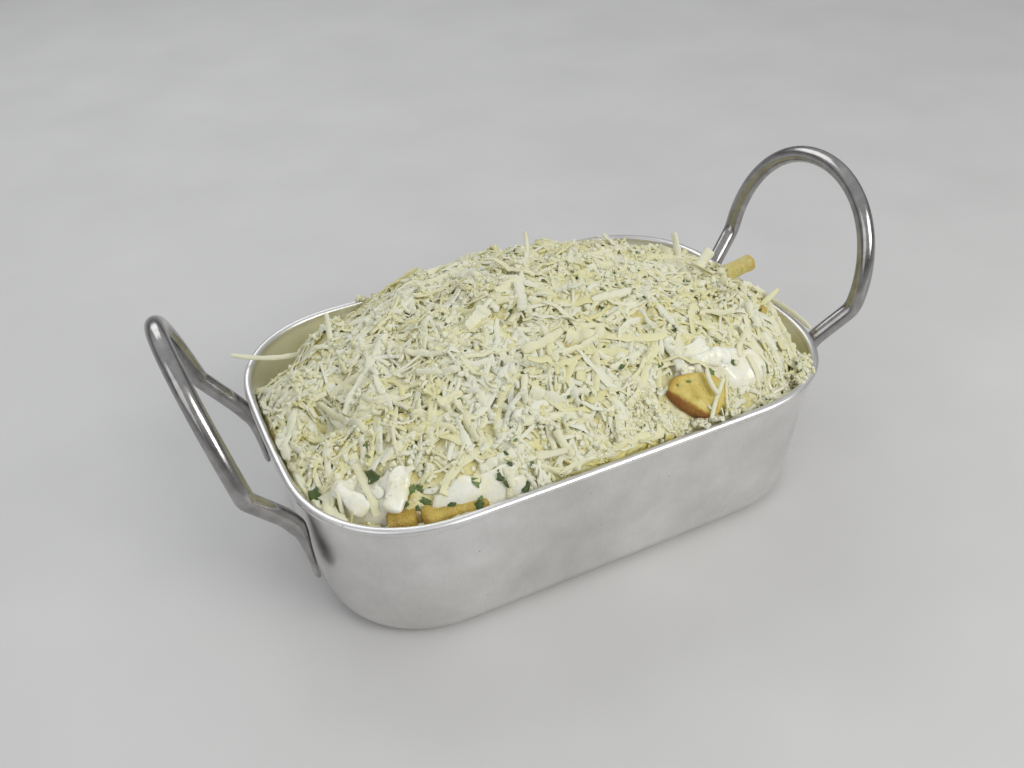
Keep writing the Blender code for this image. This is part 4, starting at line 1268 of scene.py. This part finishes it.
# Heaps of crumbs where the photograph shows them, in millimetres: x, y and z of the middle, spread, and how many
CRUMB_HEAPS = (
    (66.5, -42.6, 44.4, 1.1, 70), (64.2, -45.8, 44.3, 1.0, 50), (60.4, -48.6, 44.0, 1.0, 40),
    (-33.5, 54.2, 44.6, 0.8, 14), (-26.0, 54.2, 44.6, 0.9, 18), (-19.3, 54.2, 44.6, 0.7, 10),
    (24.0, -53.0, 45.2, 0.9, 40), (29.0, -53.2, 45.2, 0.9, 40), (34.0, -52.8, 45.4, 0.9, 40),
)
# The same by pixels of the photograph, on top of the pile: x, y, spread in millimetres, and how many
CRUMB_PATCHES = (
    (660, 432, 2.2, 120), (678, 427, 2.0, 110), (696, 424, 1.8, 90), (712, 419, 1.6, 60),
    (735, 405, 2.0, 90), (620, 440, 2.6, 120), (600, 452, 2.2, 80), (780, 380, 2.4, 90),
    (760, 392, 2.0, 80), (640, 415, 2.6, 90), (672, 410, 1.3, 80), (684, 420, 1.2, 70), (520, 470, 2.2, 50),
    (345, 325, 2.2, 70), (300, 375, 2.4, 60), (290, 400, 2.4, 50), (560, 262, 3.0, 90), (480, 285, 3.4, 90),
    (620, 275, 3.4, 90), (545, 420, 2.6, 50), (420, 455, 2.2, 40),
)


def lay_loose(pile, rng, material):
    """Chips, threads, narrow and broad shreds in batches, and the marked ones over them. Tones vary from shred to
    shred and from one part of the heap to the next."""
    laid = {name: [] for name in SHRED_SORTS}
    for _ in range(BATCHES):
        for name, (count, stations, *ranges) in SHRED_SORTS.items():
            laid[name].append(lay_shreds(pile, rng, count, stations, *ranges))
    lay_marked("marked_shreds", pile, MARKED_SHREDS, rng, material)
    lay_marked("marked_flakes", pile, MARKED_FLAKES, rng, material, 0.15)
    for name, rings in laid.items():
        rings = np.concatenate(rings)
        x, y, _ = rings.mean(axis=(1, 2)).T
        zone = 0.3 * noise(x, y, TONE_LEVEL, 24 * MM)
        add_strips(name, rings, np.clip(rng.beta(1.5, 1.7, len(rings)) + zone, 0, 1), pile, material)


def scatter_fine(pile, rng, material):
    """Crumbs and powder on the pile, thicker in clumps and thin where a piece shows."""
    for name, (count, level, sizes) in FINE_CHEESE.items():
        x = rng.uniform(-HALF_LENGTH, HALF_LENGTH, count)
        y = rng.uniform(-HALF_WIDTH, HALF_WIDTH, count)
        clumped = noise(x, y, CLUMP_LEVEL, 9 * MM, 2) + rng.uniform(-0.7, 0.9, count) > 0
        kept = (wall_share(x, y) < INNER_WALL) & (rng.random(count) > 0.995 * pile.shown_at(x, y)) & clumped
        x, y = x[kept], y[kept]
        size = rng.uniform(*sizes, len(x)) * MM
        place = np.stack([x, y, pile.at(x, y) + 0.3 * size], axis=1)
        painted = {"tone": rng.beta(1.2, 2.4, len(x)), "depth": np.zeros(len(x))}
        scatter(name, place, size, rng, level, material, painted)


def heap_crumbs(pile, rng, material):
    """Heaps and patches of crumbs, with normal spread about each middle, kept inside the part's box."""
    heaps, patches = (
        np.repeat(np.array(table, float)[:, :-1], [count for *_, count in table], axis=0)
        for table in (CRUMB_HEAPS, CRUMB_PATCHES)
    )
    heaps = heaps * MM
    place = heaps[:, :3] + rng.normal(size=(len(heaps), 3)) * (1.0, 1.0, 0.3) * heaps[:, 3:]
    middle, _ = under_pixels(pile, patches[:, :2])
    x, y = (middle[:, :2] + rng.normal(size=(len(middle), 2)) * patches[:, 2:3] * MM).T
    kept = (wall_share(x, y) < INNER_WALL) & (pile.shown_at(x, y) < 0.9)
    place = np.concatenate([place, np.stack([x, y, pile.at(x, y) + 0.2 * MM], axis=1)[kept]])
    painted = {"tone": rng.beta(1.2, 2.0, len(place)), "depth": np.zeros(len(place))}
    place = np.clip(place, np.array(CAD_LOW) + MM, np.array(CAD_HIGH) - MM)
    scatter("crumb_heaps", place, rng.uniform(0.25, 0.75, len(place)) * MM, rng, 1, material, painted)


def lay_last(pile, rng, material):
    """The shreds that stand up, lie over the rim or cross the wedge."""
    lay_standing("standing_shreds", pile, STANDING_SHREDS, rng, material)
    ends = np.array([(start, end) for start, end, _ in RIM_SHREDS], float) * MM
    widths = np.array([half_width for _, _, half_width in RIM_SHREDS]) * MM
    lay_between("rim_shreds", pile, ends[:, 0], ends[:, 1], widths, rng, material)


# Small openings between the shreds, by pixels of the photograph: x, y, and half width in millimetres
OPENINGS = (
    (576, 354, 1.7), (613, 375, 1.3), (581, 416, 1.8), (426, 362, 1.6), (503, 307, 1.7), (392, 371, 1.5),
    (490, 279, 1.5), (411, 337, 1.6), (511, 401, 1.5), (310, 366, 2.2), (330, 436, 2.0), (317, 372, 1.8),
    (640, 320, 1.8), (545, 440, 1.5), (690, 300, 1.3), (620, 258, 1.2), (465, 385, 1.3), (352, 452, 1.6),
    (600, 425, 1.4),
)


def leave_open(pile):
    """Marks the openings, so that few shreds cross them: the points of a grid inside each round one."""
    table = np.array(OPENINGS)
    middle, _ = under_pixels(pile, table[:, :2])
    grid_points = 15
    reach = np.stack(np.meshgrid(*[np.linspace(-1, 1, grid_points)] * 2), axis=-1).reshape(-1, 2)
    reach = reach[np.hypot(*reach.T) < 1] * MM
    x, y = np.moveaxis(middle[:, None, :2] + reach * table[:, None, 2:], -1, 0)
    pile.keep_off(*pile.nearest(x, y), OPENING_KEPT_OFF)


def build_food():
    """Core, sauce and bed first. Everything after them is laid on the pile and raises it."""
    crust, flesh, cheese, cream = fried_crust(), potato_flesh(), shred_cheese(), white_sauce()
    rng = np.random.default_rng(SEED)
    core = heap_surface("fries_core", lambda x, y: heap_height(x, y) - FRIES_DEPTH, CORE_RINGS, CORE_FLOOR)
    browning = {"browning": np.full(len(core.vertices), 0.3)}
    add_piece("fries_core", core, crust, "fries", browning)
    sauce = heap_surface("white_sauce", sauce_height, SURFACE_RINGS, SAUCE_FLOOR)
    add_piece("white_sauce", sauce, cream, "cream_sauce")
    bed = heap_surface("cheese_bed", bed_height, SURFACE_RINGS, BED_FLOOR)
    add_piece("cheese_bed", bed, bed_cheese(), "cheese")
    pile = Pile(lambda x, y: np.maximum(bed_height(x, y), sauce_height(x, y)))
    for name, (start, end, *values) in SHOWING_FRIES.items():
        build_fry(name, (start, end), *values, crust, pile)
    build_wedge(flesh, pile)
    build_coated_sticks(cream, pile)
    leave_open(pile)
    for lay in (lay_loose, scatter_fine, heap_crumbs, lay_last):
        lay(pile, rng, cheese)
    build_parsley(pile, rng, parsley_green())


def build_camera():
    right, up, back = camera_axes()
    data = bpy.data.cameras.new("camera")
    data.sensor_width = SENSOR_WIDTH
    data.lens = FOCAL_PIXELS / PICTURE_WIDTH * SENSOR_WIDTH
    data.clip_start = 0.01
    camera = bpy.data.objects.new("camera", data)
    rotation = Matrix((right, up, back)).transposed()
    camera.matrix_world = Matrix.Translation(CAMERA_PLACE) @ rotation.to_4x4()
    bpy.context.scene.collection.objects.link(camera)
    bpy.context.scene.camera = camera


# The studio, in metres: floor radius, radius of its flat part, rise beyond it by the square, and the lights as
# place, size, power and tint. The room's tones go by the height that is looked at, from the horizon up
FLOOR_RADIUS = 3.2
FLAT_RADIUS = 1.2
FLOOR_RISE = 0.14
LIGHTS = {
    "key": ((0.36, -0.62, 0.50), 0.42, 3.1, (1.0, 0.985, 0.95)),
    "back": ((-0.10, 0.55, 0.60), 0.5, 1.25, (0.97, 0.985, 1.0)),
    "left": ((-0.60, -0.35, 0.45), 0.5, 0.7, (0.97, 0.985, 1.0)),
}
ROOM_TONES = (
    (0.0, (0.05, 0.048, 0.045)), (0.22, (0.16, 0.16, 0.165)), (0.5, (0.53, 0.535, 0.55)),
    (1.0, (0.60, 0.61, 0.63)),
)


def area_light(name, place, size, power, tint):
    """A soft square light that faces the dish."""
    data = bpy.data.lights.new(name, "AREA")
    data.shape = "SQUARE"
    data.size = size
    data.energy = power
    data.color = tint
    light = bpy.data.objects.new(name, data)
    light.location = place
    light.rotation_euler = (Vector(place) - Vector((0, 0, 0.04))).to_track_quat("Z", "Y").to_euler()
    bpy.context.scene.collection.objects.link(light)


def build_studio():
    """Plain pale round floor that curves up far out by the square of the way, three soft lights and a dim
    room."""
    radius, turn = np.linspace(0.1, FLOOR_RADIUS, 32)[:, None], np.linspace(0, 2 * math.pi, 72, endpoint=False)
    rise = FLOOR_RISE * np.clip(radius - FLAT_RADIUS, 0, None) ** 2 + 0 * turn
    rings = np.stack([radius * np.cos(turn), radius * np.sin(turn), rise], axis=-1)
    rows, columns = rise.shape
    fan = np.stack([np.full(columns, rise.size), np.arange(columns), np.roll(np.arange(columns), -1)], axis=1)
    points = np.concatenate([rings.reshape(-1, 3), np.zeros((1, 3))])
    floor = bpy.data.objects.new("floor", new_mesh("floor", points, grid_quads(rows, columns)[:, ::-1], fan))
    floor.data.materials.append(floor_paint())
    floor.data.shade_smooth()
    bpy.context.scene.collection.objects.link(floor)
    for name, values in LIGHTS.items():
        area_light(name, *values)
    world = bpy.data.worlds.new("room")
    world.use_nodes = True
    tree = world.node_tree
    place = tree.nodes.new("ShaderNodeTexCoord")
    split = tree.nodes.new("ShaderNodeSeparateXYZ")
    ramp = tree.nodes.new("ShaderNodeValToRGB")
    set_stops(ramp.color_ramp, ROOM_TONES)
    tree.links.new(place.outputs["Generated"], split.inputs[0])
    tree.links.new(split.outputs["Z"], ramp.inputs[0])
    tree.links.new(ramp.outputs[0], tree.nodes["Background"].inputs["Color"])
    bpy.context.scene.world = world
    bpy.context.scene.view_settings.view_transform = "Standard"


def main():
    build_camera()
    build_studio()
    build_dish(dish_steel())
    rod_steel = handle_steel()
    for name, bend in HANDLE_BENDS.items():
        build_handle(name, bend, rod_steel)
    build_food()


main()
